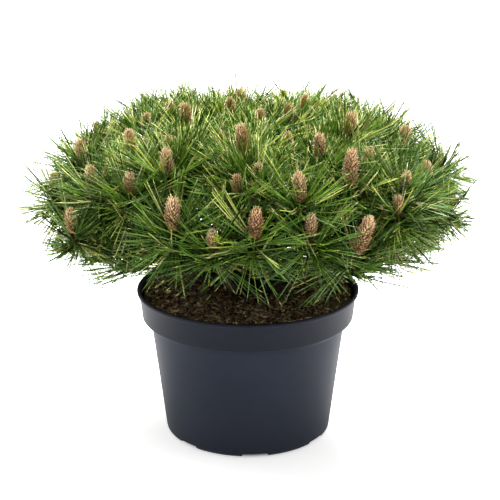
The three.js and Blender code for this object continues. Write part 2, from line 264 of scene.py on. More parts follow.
# The finer twigs on the stems
SIDE_TWIGS = 3
LONG_STEM = 75
SIDE_TWIG_FORKS = (0.4, 0.68)
SIDE_TWIG_LENGTHS = (34, 52)
SIDE_TWIG_WANDER = 0.4
SIDE_TWIG_START = 0.75
SIDE_TWIG_RISE = 0.25
SIDE_TWIG_TIP_RISE = 0.9
SIDE_TWIG_BEND = 0.4
SIDE_TWIG_FITS = 8
SIDE_TWIG_SIDES = 6
SIDE_TWIG_RINGS = 9
SIDE_TWIG_BARK = (0.2, 4)
SIDE_TWIG_RADIUS = 1.5
SIDE_TWIG_TAPER = 0.4
SIDE_TWIG_SHRINK = 0.88
SIDE_TWIG_PULL = 0.35
SIDE_TWIG_DEPTH = 0.93
SIDE_TWIG_LOWEST = 206
SIDE_BUD_LENGTH = 6
SIDE_BUD_ROOM = 12
LOW_TWIG_HEIGHT = 222

# Tufts that stand out of the crown's outline: place in the photo, and how far behind the trunk
TUFTS = [((12, 176), 0), ((475, 180), 0), ((412, 106), 40), ((345, 84), 95), ((142, 88), 95), ((200, 86), 95)]
TUFT_REACH = 0.07
TUFT_SPREAD = math.radians(10)

# The one fresh shoot: which candle it grows on, from where, and its short needles
FRESH_SHOOT_CANDLE = 3
FRESH_SHOOT_SHARE = 0.35
FRESH_SHOOT_OFFSET = (3.5, -3, 0)
FRESH_SHOOT_WAY = (0.5, -0.5, 0.6)
FRESH_SHOOT_SPREAD = 0.42
FRESH_NEEDLES = 26
FRESH_NEEDLE_LENGTH = 8
FRESH_NEEDLE_LENGTHS = (0.7, 1.1)
FRESH_NEEDLE_WIDTH = 1.3
FRESH_NEEDLE_BEND = 0.1

# Candles and buds, how deep the candles sit that the photo doesn't show, and the scales
CANDLE_LARGE = 33
CANDLE_SMALL = 21
UNSEEN_CANDLE_SINK = 9
UNSEEN_FRONT = -10
SUNK_SHARE = 0.74
CANDLE_WIDEST = 13.5
CANDLE_BREADTH = 4.6
BUD_BREADTH = 1.5
BREADTH_GROWTH = 0.25
SPINDLE_WIDTH = 0.7
SPINDLE_LENGTH = 0.93
CANDLE_SINK = 1
SCALES = 36
SCALES_PER_MM = 4.2
BUD_SCALES = 15
SCALE_LOWEST = 0.01
SCALE_SPAN = 0.95
SCALE_TURN_SPREAD = 0.08
SCALE_ANGLE = 40
SCALE_ANGLE_DROP = 28
SCALE_ANGLE_SPREAD = 6
SCALE_FOOT = 0.62
SCALE_RIDGE = 0.9
SCALE_ROOM = 3.2
SCALE_LENGTH = 3.5
SCALE_GROWTH = 0.05
SCALE_LENGTHS = (0.85, 1.2)
SCALE_WIDTH = 2.2
SCALE_TAPER = 0.8
SMALL_SCALES = 0.6
FULL_SCALES_FROM = 25
SCALE_WIDTHS = (0.9, 1.1)
SCALE_TIP_OFF = 0.2
BUD_LENGTH = 9
RUDDY_SHARE = 0.4

# The white room: strength of its light from the front and the back, from low down and from high up
SKY_FRONT = 0.2
SKY_BACK = 0.9
SKY_LOW = 0.28
SKY_HIGH = 1.15
FLOOR_HALF = 6
FLOOR_WHITE = (0.93, 0.93, 0.93, 1)
# Painted light: the floor glows, fading out near the pot's foot over the shade reach. Painted shade: from the
# lit depth inside the foot the floor is painted black, seen in the drain notches
FLOOR_GLOW = 0.56
FLOOR_SHADE_REACH = 3
NOTCH_LIT_DEPTH = 3.5

# Lamps, in metres and watts: name, place, what it points at, size and power
LAMPS = [
    ("key", (-0.6, -0.5, 2.1), (0, 0, 0.22), (0.7, 0.7), 14),
    ("top", (0.3, 0.9, 2.1), (0, 0, 0.22), (1.2, 1.0), 206),
    ("front", (-0.3, -2.2, 1.1), (0, 0, 0.15), (1.6, 0.8), 1),
    ("left", (-1.3, -0.3, 0.3), (-0.15, -0.05, 0.22), (0.6, 0.5), 2.8),
    ("right", (1.2, -0.3, 0.8), (0.15, -0.05, 0.24), (0.6, 0.5), 1.8),
]


# The rule that the plant grows by


def noise(a, b, c):
    """A number from 0 to 1 that looks random, always the same for the same three numbers."""
    wave = math.sin(a * 12.9898 + b * 78.233 + c * 37.719) * 43758.5453
    return wave - math.floor(wave)


def around(reach, azimuth, height):
    """The place at a distance from the middle axis in the direction of an azimuth."""
    angle = math.radians(azimuth)
    return np.array([reach * math.sin(angle), -reach * math.cos(angle), height])


def crown_point(share, azimuth, height):
    """The place at a share of the shell's half width and half depth."""
    return around(share, azimuth, height) * (SHELL_HALF_WIDTH, SHELL_HALF_DEPTH, 1)


def shell_point(share, azimuth):
    rise = (1 - share**SHELL_POWER) ** (1 / SHELL_POWER)
    point = crown_point(share, azimuth, SHELL_WAIST + (SHELL_TOP - SHELL_WAIST) * rise)
    point[2] += point[0] * SHELL_TILT
    return point


def leaning(lean, azimuth):
    tilt = math.radians(lean)
    return around(math.sin(tilt), azimuth, math.cos(tilt))


def unit(vectors):
    return vectors / np.linalg.norm(vectors, axis=-1, keepdims=True)


def bezier(points, t):
    """Points on a cubic curve at each t."""
    t = np.atleast_1d(t)[:, None]
    a, b, c, d = points
    return a * (1 - t) ** 3 + 3 * b * t * (1 - t) ** 2 + 3 * c * t**2 * (1 - t) + d * t**3


def bezier_tangent(points, t):
    t = np.atleast_1d(t)[:, None]
    a, b, c, d = points
    return unit((b - a) * (1 - t) ** 2 + 2 * (c - b) * t * (1 - t) + (d - c) * t**2)


def cross_axes(tangents, across):
    first = unit(across - tangents * (tangents @ across)[:, None])
    return first, np.cross(tangents, first)


TRUNK_FOOT = POT_HEIGHT - SOIL_BELOW_RIM + SOIL_MOUND + GAP


def trunk_curve():
    bend = (TRUNK_TIP_HEIGHT - TRUNK_FOOT) * TRUNK_BEND_SHARE
    x, y = TRUNK_LEAN
    return np.array([
        [0, 0, TRUNK_FOOT],
        [0, 0, TRUNK_FOOT + bend],
        [x, y, TRUNK_TIP_HEIGHT - bend],
        [x, y, TRUNK_TIP_HEIGHT],
    ], float)


def trunk_radius(t):
    height = t * (TRUNK_TIP_HEIGHT - TRUNK_FOOT)
    flare = np.maximum(0, 1 - height / TRUNK_FLARE_HEIGHT) ** 2
    straight = TRUNK_FOOT_RADIUS + (TRUNK_TIP_RADIUS - TRUNK_FOOT_RADIUS) * t
    return straight + (TRUNK_FLARE_RADIUS - TRUNK_FOOT_RADIUS) * flare


def trunk_point_at(height):
    t = np.linspace(0, 1, 2001)
    points = bezier(trunk_curve(), t)
    return points[np.argmin(np.abs(points[:, 2] - height))]


def plan_boughs():
    boughs = []
    for level, (level_name, plan) in enumerate(WHORLS):
        whorl = SimpleNamespace(**plan)
        for i in range(whorl.count):
            turn = (noise(level, i, 1) - 0.5) * BOUGH_WANDER * 2
            azimuth = whorl.start + 360 / whorl.count * i + turn
            root = trunk_point_at(whorl.roots[i % len(whorl.roots)])
            lift = (noise(level, i, 2) - 0.5) * BOUGH_WANDER
            tip = crown_point(whorl.share, azimuth, whorl.tip + lift)
            way = tip - root
            bends = [root + way * (along, along, up) - (0, 0, whorl.sag) for along, up in BOUGH_BENDS]
            curve = np.array([root, *bends, tip])
            boughs.append(SimpleNamespace(
                name=f"bough_{level_name}_{i + 1}",
                mass=f"needles_{level_name}_{i + 1}",
                level=level_name,
                curve=curve,
                radius=whorl.radius,
                across=around(1, azimuth + 90, 0),
                tip=tip,
                heading=bezier_tangent(curve, 1)[0],
                shoots=[],
            ))
    return boughs


def plan_shoots():
    shoots = []

    def add(base, azimuth, mean_lean, candle):
        lean = mean_lean + (noise(len(shoots), 5, 1) - 0.5) * LEAN_SPREAD
        plan = dict(id=len(shoots), base=base, azimuth=azimuth, lean=lean, candle=candle)
        shoots.append(SimpleNamespace(**plan, sides=[]))

    def add_on_shell(share, azimuth, candle):
        add(shell_point(share, azimuth), azimuth, RIM_LEAN * share, candle)

    for share, large, small in SEEN_CANDLES:
        for azimuth in large:
            add_on_shell(share, azimuth, CANDLE_LARGE)
        for azimuth in small:
            add_on_shell(share, azimuth, CANDLE_SMALL)
    for i in range(SHOOT_TRIES):
        share = math.sqrt(noise(i, 3, 1)) * RIM_SHARE
        azimuth = 360 * noise(i, 3, 2) - 180
        base = shell_point(share, azimuth)
        if all(np.linalg.norm(other.base - base) > SHOOT_SPACING for other in shoots):
            candle = CANDLE_SMALL + (CANDLE_LARGE - CANDLE_SMALL) * noise(i, 3, 3)
            add_on_shell(share, azimuth, candle)
    for i in range(SKIRT_COUNT):
        azimuth = 360 / SKIRT_COUNT * (i + SKIRT_WANDER * noise(i, 4, 1))
        height = SKIRT_HEIGHT + (noise(i, 4, 2) - 0.5) * SKIRT_HEIGHT_SPREAD
        add(crown_point(SKIRT_SHARE, azimuth, height), azimuth, SKIRT_LEAN, BUD_LENGTH)
    return shoots


def give_roots(shoots, limbs):
    """Each shoot springs from the limb whose tip is nearest."""
    for shoot in shoots:
        nearest = min(limbs, key=lambda limb: np.linalg.norm(limb.tip - shoot.base))
        shoot.root = nearest.tip + nearest.heading * (GAP + STEM_FORK_STEP * len(nearest.shoots))
        shoot.start = nearest.heading
        shoot.way = leaning(shoot.lean, shoot.azimuth)
        nearest.shoots.append(shoot)


def photo_point(pixel, depth):
    """The place with the given y that the photo shows at a pixel."""
    pitch = math.radians(CAMERA_PITCH)
    reach = PHOTO_SIZE * CAMERA_LENS / SENSOR_WIDTH
    right = (pixel[0] - PHOTO_SIZE / 2) / reach
    up = (PHOTO_SIZE / 2 - pixel[1]) / reach
    ray = np.array([
        right,
        math.cos(pitch) + up * math.sin(pitch),
        up * math.cos(pitch) - math.sin(pitch),
    ])
    return np.array(CAMERA_PLACE) + ray * (depth - CAMERA_PLACE[1]) / ray[1]


def set_seen_candles(shoots):
    """Moves the foot and tip of each candle that the photo shows to where it shows them."""
    for shoot, place in zip(shoots, CANDLE_PLACES):
        depth = shoot.base[1]
        shoot.base = photo_point(place[:2], depth)
        axis = photo_point(place[2:], depth + shoot.way[1] * shoot.candle) - shoot.base
        shoot.candle = np.linalg.norm(axis)
        shoot.way = unit(axis)


def sink_unseen_candles(shoots):
    """The candles that the photo doesn't show sit a little deeper, except round the back of the rim."""
    for shoot in shoots[len(CANDLE_PLACES):]:
        share = math.hypot(shoot.base[0] / SHELL_HALF_WIDTH, shoot.base[1] / SHELL_HALF_DEPTH)
        behind = share > SUNK_SHARE and shoot.base[1] > UNSEEN_FRONT
        if shoot.candle > BUD_LENGTH and not behind:
            shoot.base = shoot.base - shoot.way * UNSEEN_CANDLE_SINK


def give_stems(shoots):
    for shoot in shoots:
        reach = np.linalg.norm(shoot.base - shoot.root)
        shoot.across = around(1, shoot.azimuth + 90, 0)
        shoot.core_start = 1 - CORE_LENGTH / reach
        shoot.curve = np.array([
            shoot.root,
            shoot.root + shoot.start * reach * STEM_START_PULL,
            shoot.base - shoot.way * reach * STEM_END_PULL,
            shoot.base,
        ])
        shoot.heading = bezier_tangent(shoot.curve, 1)[0]
        flat = shoot.base / (SHELL_HALF_WIDTH, SHELL_HALF_DEPTH, 1)
        shoot.share = min(1, math.hypot(flat[0], flat[1]))


def depth_in_dome(points, half_width, half_depth, top, power):
    """0 in the middle of the crown, 1 on a dome of the given size."""
    flat = np.hypot(points[..., 0] / half_width, points[..., 1] / half_depth)
    rise = np.maximum(0, (points[..., 2] - SHELL_WAIST) / (top - SHELL_WAIST))
    return (flat**power + rise**power) ** (1 / power)


def depth_in_shell(points):
    return depth_in_dome(points, SHELL_HALF_WIDTH, SHELL_HALF_DEPTH, SHELL_TOP, SHELL_POWER)


def depth_in_crown(points):
    """1 at the edge that the needle tips keep to, which stands out at the tufts."""
    depth = depth_in_dome(points, CROWN_HALF_WIDTH, CROWN_HALF_DEPTH, CROWN_TOP, CROWN_POWER)
    middle = np.array([0, 0, SHELL_WAIST])
    way = unit(points - middle)
    for pixel, behind in TUFTS:
        near = np.arccos(np.clip(way @ unit(photo_point(pixel, behind) - middle), -1, 1))
        depth = depth - TUFT_REACH * np.exp(-((near / TUFT_SPREAD) ** 2))
    return depth


def plan_side_twigs(shoots):
    """Finer twigs on each stem, that end in a small bud a little under the shell."""
    rng = np.random.default_rng(21)
    for shoot in shoots:
        reach = np.linalg.norm(shoot.base - shoot.root)
        count = SIDE_TWIGS if reach > LONG_STEM else SIDE_TWIGS - 1
        turn = rng.uniform(0, math.tau)
        for i in range(count):
            t = rng.uniform(*SIDE_TWIG_FORKS)
            fork = bezier(shoot.curve, t)[0]
            tangent = bezier_tangent(shoot.curve, t)
            first, second = cross_axes(tangent, shoot.across)
            angle = turn + i * math.tau / count + rng.normal(0, SIDE_TWIG_WANDER)
            radial = first[0] * math.cos(angle) + second[0] * math.sin(angle)
            length = rng.uniform(*SIDE_TWIG_LENGTHS)
            way = unit(tangent[0] * SIDE_TWIG_START + radial * SIDE_TWIG_START + (0, 0, SIDE_TWIG_RISE))
            upward = unit(way + (0, 0, SIDE_TWIG_TIP_RISE))
            for _ in range(SIDE_TWIG_FITS):
                end = fork + (way * (1 - SIDE_TWIG_BEND) + upward * SIDE_TWIG_BEND) * length
                if depth_in_shell(end + upward * SIDE_BUD_ROOM) < SIDE_TWIG_DEPTH:
                    break
                length *= SIDE_TWIG_SHRINK
            if end[2] < SIDE_TWIG_LOWEST:
                continue
            pulls = [way * length * SIDE_TWIG_PULL, upward * length * SIDE_TWIG_PULL]
            curve = np.array([fork, fork + pulls[0], end - pulls[1], end])
            shoot.sides.append(SimpleNamespace(
                base=end, curve=curve, across=shoot.across,
                heading=bezier_tangent(curve, 1)[0], candle=SIDE_BUD_LENGTH, id=shoot.id,
            ))


# Meshes from arrays


def add_object(name, data):
    added = bpy.data.objects.new(name, data)
    bpy.context.scene.collection.objects.link(added)
    return added


def make_piece(name, points, faces, materials, face_materials=None, smooth=True):
    """A mesh from points in millimetres and faces of three or four corners, riding on the one body."""
    mesh = bpy.data.meshes.new(name)
    counts = np.concatenate([np.full(len(part), part.shape[1]) for part in faces])
    corners = np.concatenate([part.ravel() for part in faces])
    mesh.vertices.add(len(points))
    mesh.vertices.foreach_set("co", (np.asarray(points, np.float64) * MM).ravel())
    mesh.loops.add(len(corners))
    mesh.loops.foreach_set("vertex_index", corners.astype(np.int32))
    mesh.polygons.add(len(counts))
    starts = np.concatenate([[0], np.cumsum(counts)[:-1]])
    mesh.polygons.foreach_set("loop_start", starts.astype(np.int32))
    mesh.polygons.foreach_set("use_smooth", np.full(len(counts), smooth))
    for material in materials:
        mesh.materials.append(material)
    if face_materials is not None:
        mesh.polygons.foreach_set("material_index", np.asarray(face_materials, np.int32))
    mesh.update(calc_edges=True)
    mesh.validate()
    piece = add_object(name, mesh)
    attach(piece, "root")
    return piece


class Heap:
    """Meshes gathered into one: faces of four and of three corners, each with a material number."""

    def __init__(self):
        self.points = []
        self.faces = {4: [], 3: []}
        self.tones = {4: [], 3: []}
        self.count = 0

    def add(self, points, *parts):
        self.points.append(points.reshape(-1, 3))
        for faces, tones in parts:
            corners = faces.shape[1]
            self.faces[corners].append(faces + self.count)
            self.tones[corners].append(np.broadcast_to(tones, len(faces)))
        self.count += len(self.points[-1])

    def build(self, name, materials, smooth=True):
        kinds = [corners for corners in self.faces if self.faces[corners]]
        faces = [np.concatenate(self.faces[corners]) for corners in kinds]
        tones = np.concatenate([np.concatenate(self.tones[corners]) for corners in kinds])
        return make_piece(name, np.concatenate(self.points), faces, materials, tones, smooth)


def swing(start, end, angle):
    """Directions at an angle from start, towards end, which is at a right angle to it."""
    return start * np.cos(angle)[..., None] + end * np.sin(angle)[..., None]


def circle(count):
    """Angles evenly round a circle."""
    return np.arange(count) * math.tau / count


def grid(rows, columns):
    """Quads between the rows of a closed grid of points."""
    row = np.arange(rows - 1)[:, None] * columns
    side = np.arange(columns)
    after = (side + 1) % columns
    return np.stack([row + side, row + after, row + columns + after, row + columns + side], -1).reshape(-1, 4)


def tube_caps(rings, sides):
    """The two end fans of a tube."""
    fan = np.arange(1, sides - 1)
    start = np.stack([np.zeros_like(fan), fan + 1, fan], -1)
    end = np.stack([np.zeros_like(fan), fan, fan + 1], -1) + (rings - 1) * sides
    return np.concatenate([start, end])


def revolve(outline, facets):
    """A closed body from an outline that starts and ends on the axis, as points and faces."""
    ring = outline[1:-1]
    angles = circle(facets)
    points = [(radius * math.cos(a), radius * math.sin(a), height) for radius, height in ring for a in angles]
    points += [(0, 0, outline[0][1]), (0, 0, outline[-1][1])]
    side = np.arange(facets)
    after = (side + 1) % facets
    low, high = len(points) - 2, len(points) - 1
    last = (len(ring) - 1) * facets
    fans = np.concatenate([
        np.stack([np.full(facets, low), after, side], -1),
        np.stack([np.full(facets, high), last + side, last + after], -1),
    ])
    return np.array(points), [grid(len(ring), facets), fans]


def spike_ring(center, side, ridge, half, height):
    """A ring of three points: two at the sides and one on the ridge, height times as far out."""
    return np.stack([center - side * half, center + side * half, center + ridge * half * height], 1)


def add_spikes(heap, rings, tips, quad_tones, triangle_tones):
    """Three-sided spikes with their rings of points and a tip each, and a tone for each face."""
    count = len(tips)
    points = np.concatenate([np.stack(rings, 1).reshape(count, -1, 3), tips[:, None]], 1)
    tip = points.shape[1] - 1
    last = tip - 3
    triangles = np.array([[last, last + 1, tip], [last + 1, last + 2, tip], [last + 2, last, tip], [0, 2, 1]])
    offset = np.arange(count)[:, None, None] * (tip + 1)
    heap.add(
        points,
        ((grid(len(rings), 3)[None] + offset).reshape(-1, 4), quad_tones.ravel()),
        ((triangles[None] + offset).reshape(-1, 3), triangle_tones.ravel()),
    )


# Materials


def srgb(red, green, blue):
    """A colour given as seen on a screen, 0 to 255, as the linear colour that shaders take."""
    values = [value / 255 for value in (red, green, blue)]
    linear = [v / 12.92 if v <= 0.04045 else ((v + 0.055) / 1.055) ** 2.4 for v in values]
    return (*linear, 1)


def new_material(name, color, roughness, specular):
    """A plain material, and its node tree and shader."""
    material = bpy.data.materials.new(name)
    material.use_nodes = True
    material.diffuse_color = color
    shader = material.node_tree.nodes["Principled BSDF"]
    shader.inputs["Base Color"].default_value = color
    shader.inputs["Roughness"].default_value = roughness
    shader.inputs["Specular IOR Level"].default_value = specular
    return material, material.node_tree, shader


def tone_materials(prefix, tones):
    """Plain materials from rows of name, colour, roughness and gloss."""
    return [new_material(prefix + name, srgb(*color), *shine)[0] for name, color, *shine in tones]


def tone_numbers(tones):
    return {name: number for number, (name, *_) in enumerate(tones)}


def add_node(tree, kind, **settings):
    """A shader node. Settings are its own options or, with _ for each space, its inputs."""
    node = tree.nodes.new("ShaderNode" + kind)
    for key, value in settings.items():
        if hasattr(node, key):
            setattr(node, key, value)
        else:
            node.inputs[key.replace("_", " ")].default_value = value
    return node


def wire(tree, *chains):
    """Links nodes in chains: a node, its output, the input that it goes to, the next node, and so on."""
    for chain in chains:
        for k in range(0, len(chain) - 3, 3):
            out_node, out_socket, in_socket, in_node = chain[k:k + 4]
            tree.links.new(out_node.outputs[out_socket], in_node.inputs[in_socket])


def color_ramp(tree, stops):
    ramp = add_node(tree, "ValToRGB")
    elements = ramp.color_ramp.elements
    while len(elements) < len(stops):
        elements.new(0.5)
    for element, (position, color) in zip(elements, stops):
        element.position = position
        element.color = color
    return ramp


def patterned_material(name, stops, bumps, scale, roughness, detail, specular):
    """Colour from noise through a ramp, and bump from finer noises given as (scale, height in metres)."""
    stops = [(position, srgb(*color)) for position, color in stops]
    material, tree, shader = new_material(name, stops[0][1], roughness, specular)
    place = add_node(tree, "TexCoord")
    tint = add_node(tree, "TexNoise", Scale=scale, Detail=detail, Roughness=0.6)
    ramp = color_ramp(tree, stops)
    wire(tree, (place, "Object", "Vector", tint, "Fac", "Fac", ramp, "Color", "Base Color", shader))
    last = None
    for bump_scale, height in bumps:
        grain = add_node(tree, "TexNoise", Scale=bump_scale, Detail=4, Roughness=0.6)
        bump = add_node(tree, "Bump", Strength=1, Distance=height)
        wire(tree, (place, "Object", "Vector", grain, "Fac", "Height", bump))
        if last is not None:
            wire(tree, (last, "Normal", "Normal", bump))
        last = bump
    wire(tree, (last, "Normal", "Normal", shader))
    return material


# The pot


def quarter_turn(start, size, first, steps, rising=False):
    """Points along a quarter of an ellipse that leaves its start level or rising."""
    points = []
    for k in range(first, steps + 1):
        turn = k / steps * math.pi / 2
        shares = [math.sin(turn), 1 - math.cos(turn)]
        if rising:
            shares.reverse()
        points.append((start[0] + size[0] * shares[0], start[1] + size[1] * shares[1]))
    return points


def pot_profile():
    """The outline from the middle of the underside up the outside and down the inside."""
    band_foot = POT_HEIGHT - BAND_DEPTH
    body_top = band_foot - SHOULDER_DEPTH
    lip_foot = POT_HEIGHT - LIP_DEPTH
    foot_edge = FOOT_RADIUS - FOOT_ROUNDING
    shoulder = BAND_RADIUS_FOOT - BAND_ROUNDING
    outline = [(0, 0), (FOOT_RADIUS * 0.5, 0), (foot_edge, 0)]
    outline += quarter_turn((foot_edge, 0), (BODY_RADIUS_FOOT - foot_edge, BODY_FOOT_HEIGHT), 0, 8)
    for k in range(1, 11):
        outline.append((
            BODY_RADIUS_FOOT + (BODY_RADIUS_TOP - BODY_RADIUS_FOOT) * k / 10,
            BODY_FOOT_HEIGHT + (body_top - BODY_FOOT_HEIGHT) * k / 10,
        ))
    size = (shoulder - BODY_RADIUS_TOP, SHOULDER_DEPTH - BAND_OVERHANG)
    outline += quarter_turn((BODY_RADIUS_TOP, body_top), size, 1, 8, rising=True)[:-1]
    outline += quarter_turn((shoulder, band_foot - BAND_OVERHANG), (BAND_ROUNDING, BAND_ROUNDING), 0, 4)
    # Small corners, each from a radius and a height
    for radius, height, corners in [
        (BAND_RADIUS_FOOT, band_foot, [(0.2, 4)]),
        (BAND_RADIUS_TOP, lip_foot, [(0, -1.6), (0.3, -0.9), (1, -0.35)]),
        (RIM_RADIUS, lip_foot, [(-1, 0), (-0.3, 0.3), (0, 1)]),
        (RIM_RADIUS, POT_HEIGHT, [(0, -1.6), (-0.5, -0.6), (-1.4, 0), (-2.2, -0.2), (-3, -1)]),
        (BAND_RADIUS_TOP - WALL, POT_HEIGHT, [(0.4, -3.5), (0, -6)]),
    ]:
        outline += [(radius + out, height + up) for out, up in corners]
    return outline + [
        (BAND_RADIUS_FOOT - WALL, band_foot),
        (BODY_RADIUS_TOP - WALL, body_top),
        (BODY_RADIUS_FOOT - WALL, FLOOR_THICKNESS),
        (0, FLOOR_THICKNESS),
    ]


def drain_notch_cutter(azimuth):
    """A wedge with rounded top corners, lying along the radius."""
    half_top = NOTCH_WIDTH_TOP / 2 + NOTCH_CORNER / 4
    corner_foot = NOTCH_HEIGHT - NOTCH_CORNER
    section = [(-NOTCH_WIDTH_FOOT / 2 - NOTCH_SPLAY, -NOTCH_OVERLAP)]
    section += quarter_turn((-half_top, corner_foot), (NOTCH_CORNER, NOTCH_CORNER), 0, 4, rising=True)
    section += [(-x, z) for x, z in reversed(section)]
    across = around(1, azimuth + 90, 0)
    out = around(1, azimuth, 0)
    ends = (NOTCH_INNER_RADIUS, RIM_RADIUS)
    points = [across * x + out * reach + (0, 0, z) for reach in ends for x, z in section]
    count = len(section)
    mesh = bpy.data.meshes.new("notch")
    faces = [tuple(range(count)), tuple(reversed(range(count, 2 * count)))]
    faces += [(k, k + count, (k + 1) % count + count, (k + 1) % count) for k in range(count)]
    mesh.from_pydata([Vector(p) * MM for p in points], [], faces)
    build = bmesh.new()
    build.from_mesh(mesh)
    bmesh.ops.recalc_face_normals(build, faces=build.faces)
    build.to_mesh(mesh)
    build.free()
    return add_object("notch", mesh)


def pot_material():
    """Dark plastic with a faint haze and a fine grain, with painted shade darkening the band under the crown.
    """
    material, tree, shader = new_material("pot_plastic", srgb(30, 34, 45), roughness=0.6, specular=0.1)
    band_foot = POT_HEIGHT - BAND_DEPTH
    limits = dict(From_Min=(band_foot - SHOULDER_DEPTH) * MM, From_Max=band_foot * MM)
    place = add_node(tree, "TexCoord")
    height = add_node(tree, "SeparateXYZ")
    haze = add_node(tree, "TexNoise", Scale=14, Detail=5, Roughness=0.6)
    ramp = color_ramp(tree, [(0.3, srgb(29, 33, 44)), (0.7, srgb(35, 39, 50))])
    gloss = add_node(tree, "MapRange", To_Min=0.5, To_Max=0.64)
    # Painted shade: the colour darkens up the shoulder and stays darker over the band
    band = add_node(tree, "MapRange", **limits, To_Min=1, To_Max=BAND_PAINTED_SHADE)
    darker = add_node(tree, "VectorMath", operation="SCALE")
    grain = add_node(tree, "TexNoise", Scale=900, Detail=2, Roughness=0.5)
    bump = add_node(tree, "Bump", Strength=0.35, Distance=0.00015)
    wire(
        tree,
        (place, "Object", "Vector", haze, "Fac", "Fac", ramp, "Color", "Vector", darker),
        (place, "Object", "Vector", height, "Z", "Value", band, "Result", "Scale", darker),
        (darker, "Vector", "Base Color", shader),
        (haze, "Fac", "Value", gloss, "Result", "Roughness", shader),
        (place, "Object", "Vector", grain, "Fac", "Height", bump, "Normal", "Normal", shader),
    )
    return material


def build_pot():
    points, faces = revolve(pot_profile(), POT_FACETS)
    pot = make_piece("pot_moulded", points, faces, [pot_material()])
    cutters = [drain_notch_cutter(NOTCH_FIRST_AZIMUTH + 360 / NOTCH_COUNT * i) for i in range(NOTCH_COUNT)]
    for cutter in cutters:
        cut = pot.modifiers.new("notch", "BOOLEAN")
        cut.operation = "DIFFERENCE"
        cut.solver = "EXACT"
        cut.object = cutter
    depsgraph = bpy.context.evaluated_depsgraph_get()
    mesh = bpy.data.meshes.new_from_object(pot.evaluated_get(depsgraph))
    pot.modifiers.clear()
    pot.data = mesh
    for cutter in cutters:
        bpy.data.objects.remove(cutter)
    mesh.shade_smooth()
    mesh.set_sharp_from_angle(angle=SHARP_ANGLE)
    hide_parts("pot")


# The soil


# Name, colour, roughness and gloss
CRUMB_TONES = [
    ("crumb_dark", (52, 42, 32), 0.95, 0.2),
    ("crumb_brown", (122, 98, 72), 0.95, 0.2),
    ("chip_brown", (152, 120, 86), 0.85, 0.3),
    ("chip_tan", (228, 202, 160), 0.85, 0.3),
    ("chip_grey", (196, 180, 154), 0.85, 0.3),
    ("chip_red", (148, 98, 68), 0.85, 0.3),
]

# Crumbs, slivers and fibres: how many, range of half their length, width and height, and tones to pick from
SOIL_BITS = [
    (2400, (0.5, 1.5), (0.5, 1.3), (0.4, 1.0), [0, 0, 1]),
    (900, (1.0, 2.8), (0.5, 1.2), (0.3, 0.7), [1, 2, 2, 3, 4, 5]),
    (800, (2.0, 6.0), (0.2, 0.45), (0.15, 0.35), [2, 3, 3, 3, 4, 5]),
]
BIT_REACH = 0.985
BIT_CORNERS = (0.55, 1.15)
BIT_ROUGHNESS = 0.12
BIT_TIP = 0.3
BIT_LIFT = 0.3


def soil_height(x, y):
    """The peat's uneven top, in millimetres, from the mound round the trunk to the wall."""
    reach = np.hypot(x, y)
    edge = POT_HEIGHT - SOIL_BELOW_RIM
    slope = (reach - SOIL_MOUND_RADIUS) / (BAND_RADIUS_FOOT - SOIL_MOUND_RADIUS)
    mound = SOIL_MOUND * np.clip(1 - slope, 0, 1)
    # Waves of 1.3, 0.8 and 0.5 mm that never line up
    rough = 1.3 * np.sin(x * 0.11 + 1.3) * np.cos(y * 0.093 + 0.4)
    rough += 0.8 * np.sin(x * 0.27 - y * 0.21) + 0.5 * np.sin(x * 0.53 + y * 0.61 + 2)
    return edge + mound + rough


def build_soil():
    rng = np.random.default_rng(11)
    band_foot = POT_HEIGHT - BAND_DEPTH
    inset = WALL + GAP
    edge = BAND_RADIUS_FOOT - inset
    wall_outline = [
        (0, FLOOR_THICKNESS + GAP),
        (BODY_RADIUS_FOOT - inset, FLOOR_THICKNESS + GAP),
        (BODY_RADIUS_TOP - inset, band_foot - SHOULDER_DEPTH),
        (edge, band_foot + GAP),
    ]
    reaches = np.sqrt(np.linspace(1, SOIL_MIDDLE_AREA, SOIL_RINGS)) * edge
    outline = wall_outline + [(reach, 0) for reach in reaches] + [(0, 0)]
    points, faces = revolve(outline, SOIL_FACETS)
    top = points[(len(wall_outline) - 1) * SOIL_FACETS:-2]
    lumps = rng.normal(0, SOIL_LUMPS, len(top))
    top[:, 2] = soil_height(top[:, 0], top[:, 1]) + lumps
    points[-1, 2] = soil_height(0, 0)
    peat_stops = [(0.25, (48, 39, 29)), (0.5, (106, 86, 64)), (0.62, (166, 137, 103)), (0.8, (68, 55, 42))]
    bumps = [(700, 0.0012), (2200, 0.0005)]
    peat = patterned_material("peat", peat_stops, bumps, scale=330, roughness=0.95, detail=8, specular=0.25)
    soil = make_piece("soil_bed", points, faces, [peat])
    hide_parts("soil")
    build_soil_bits(rng, edge)


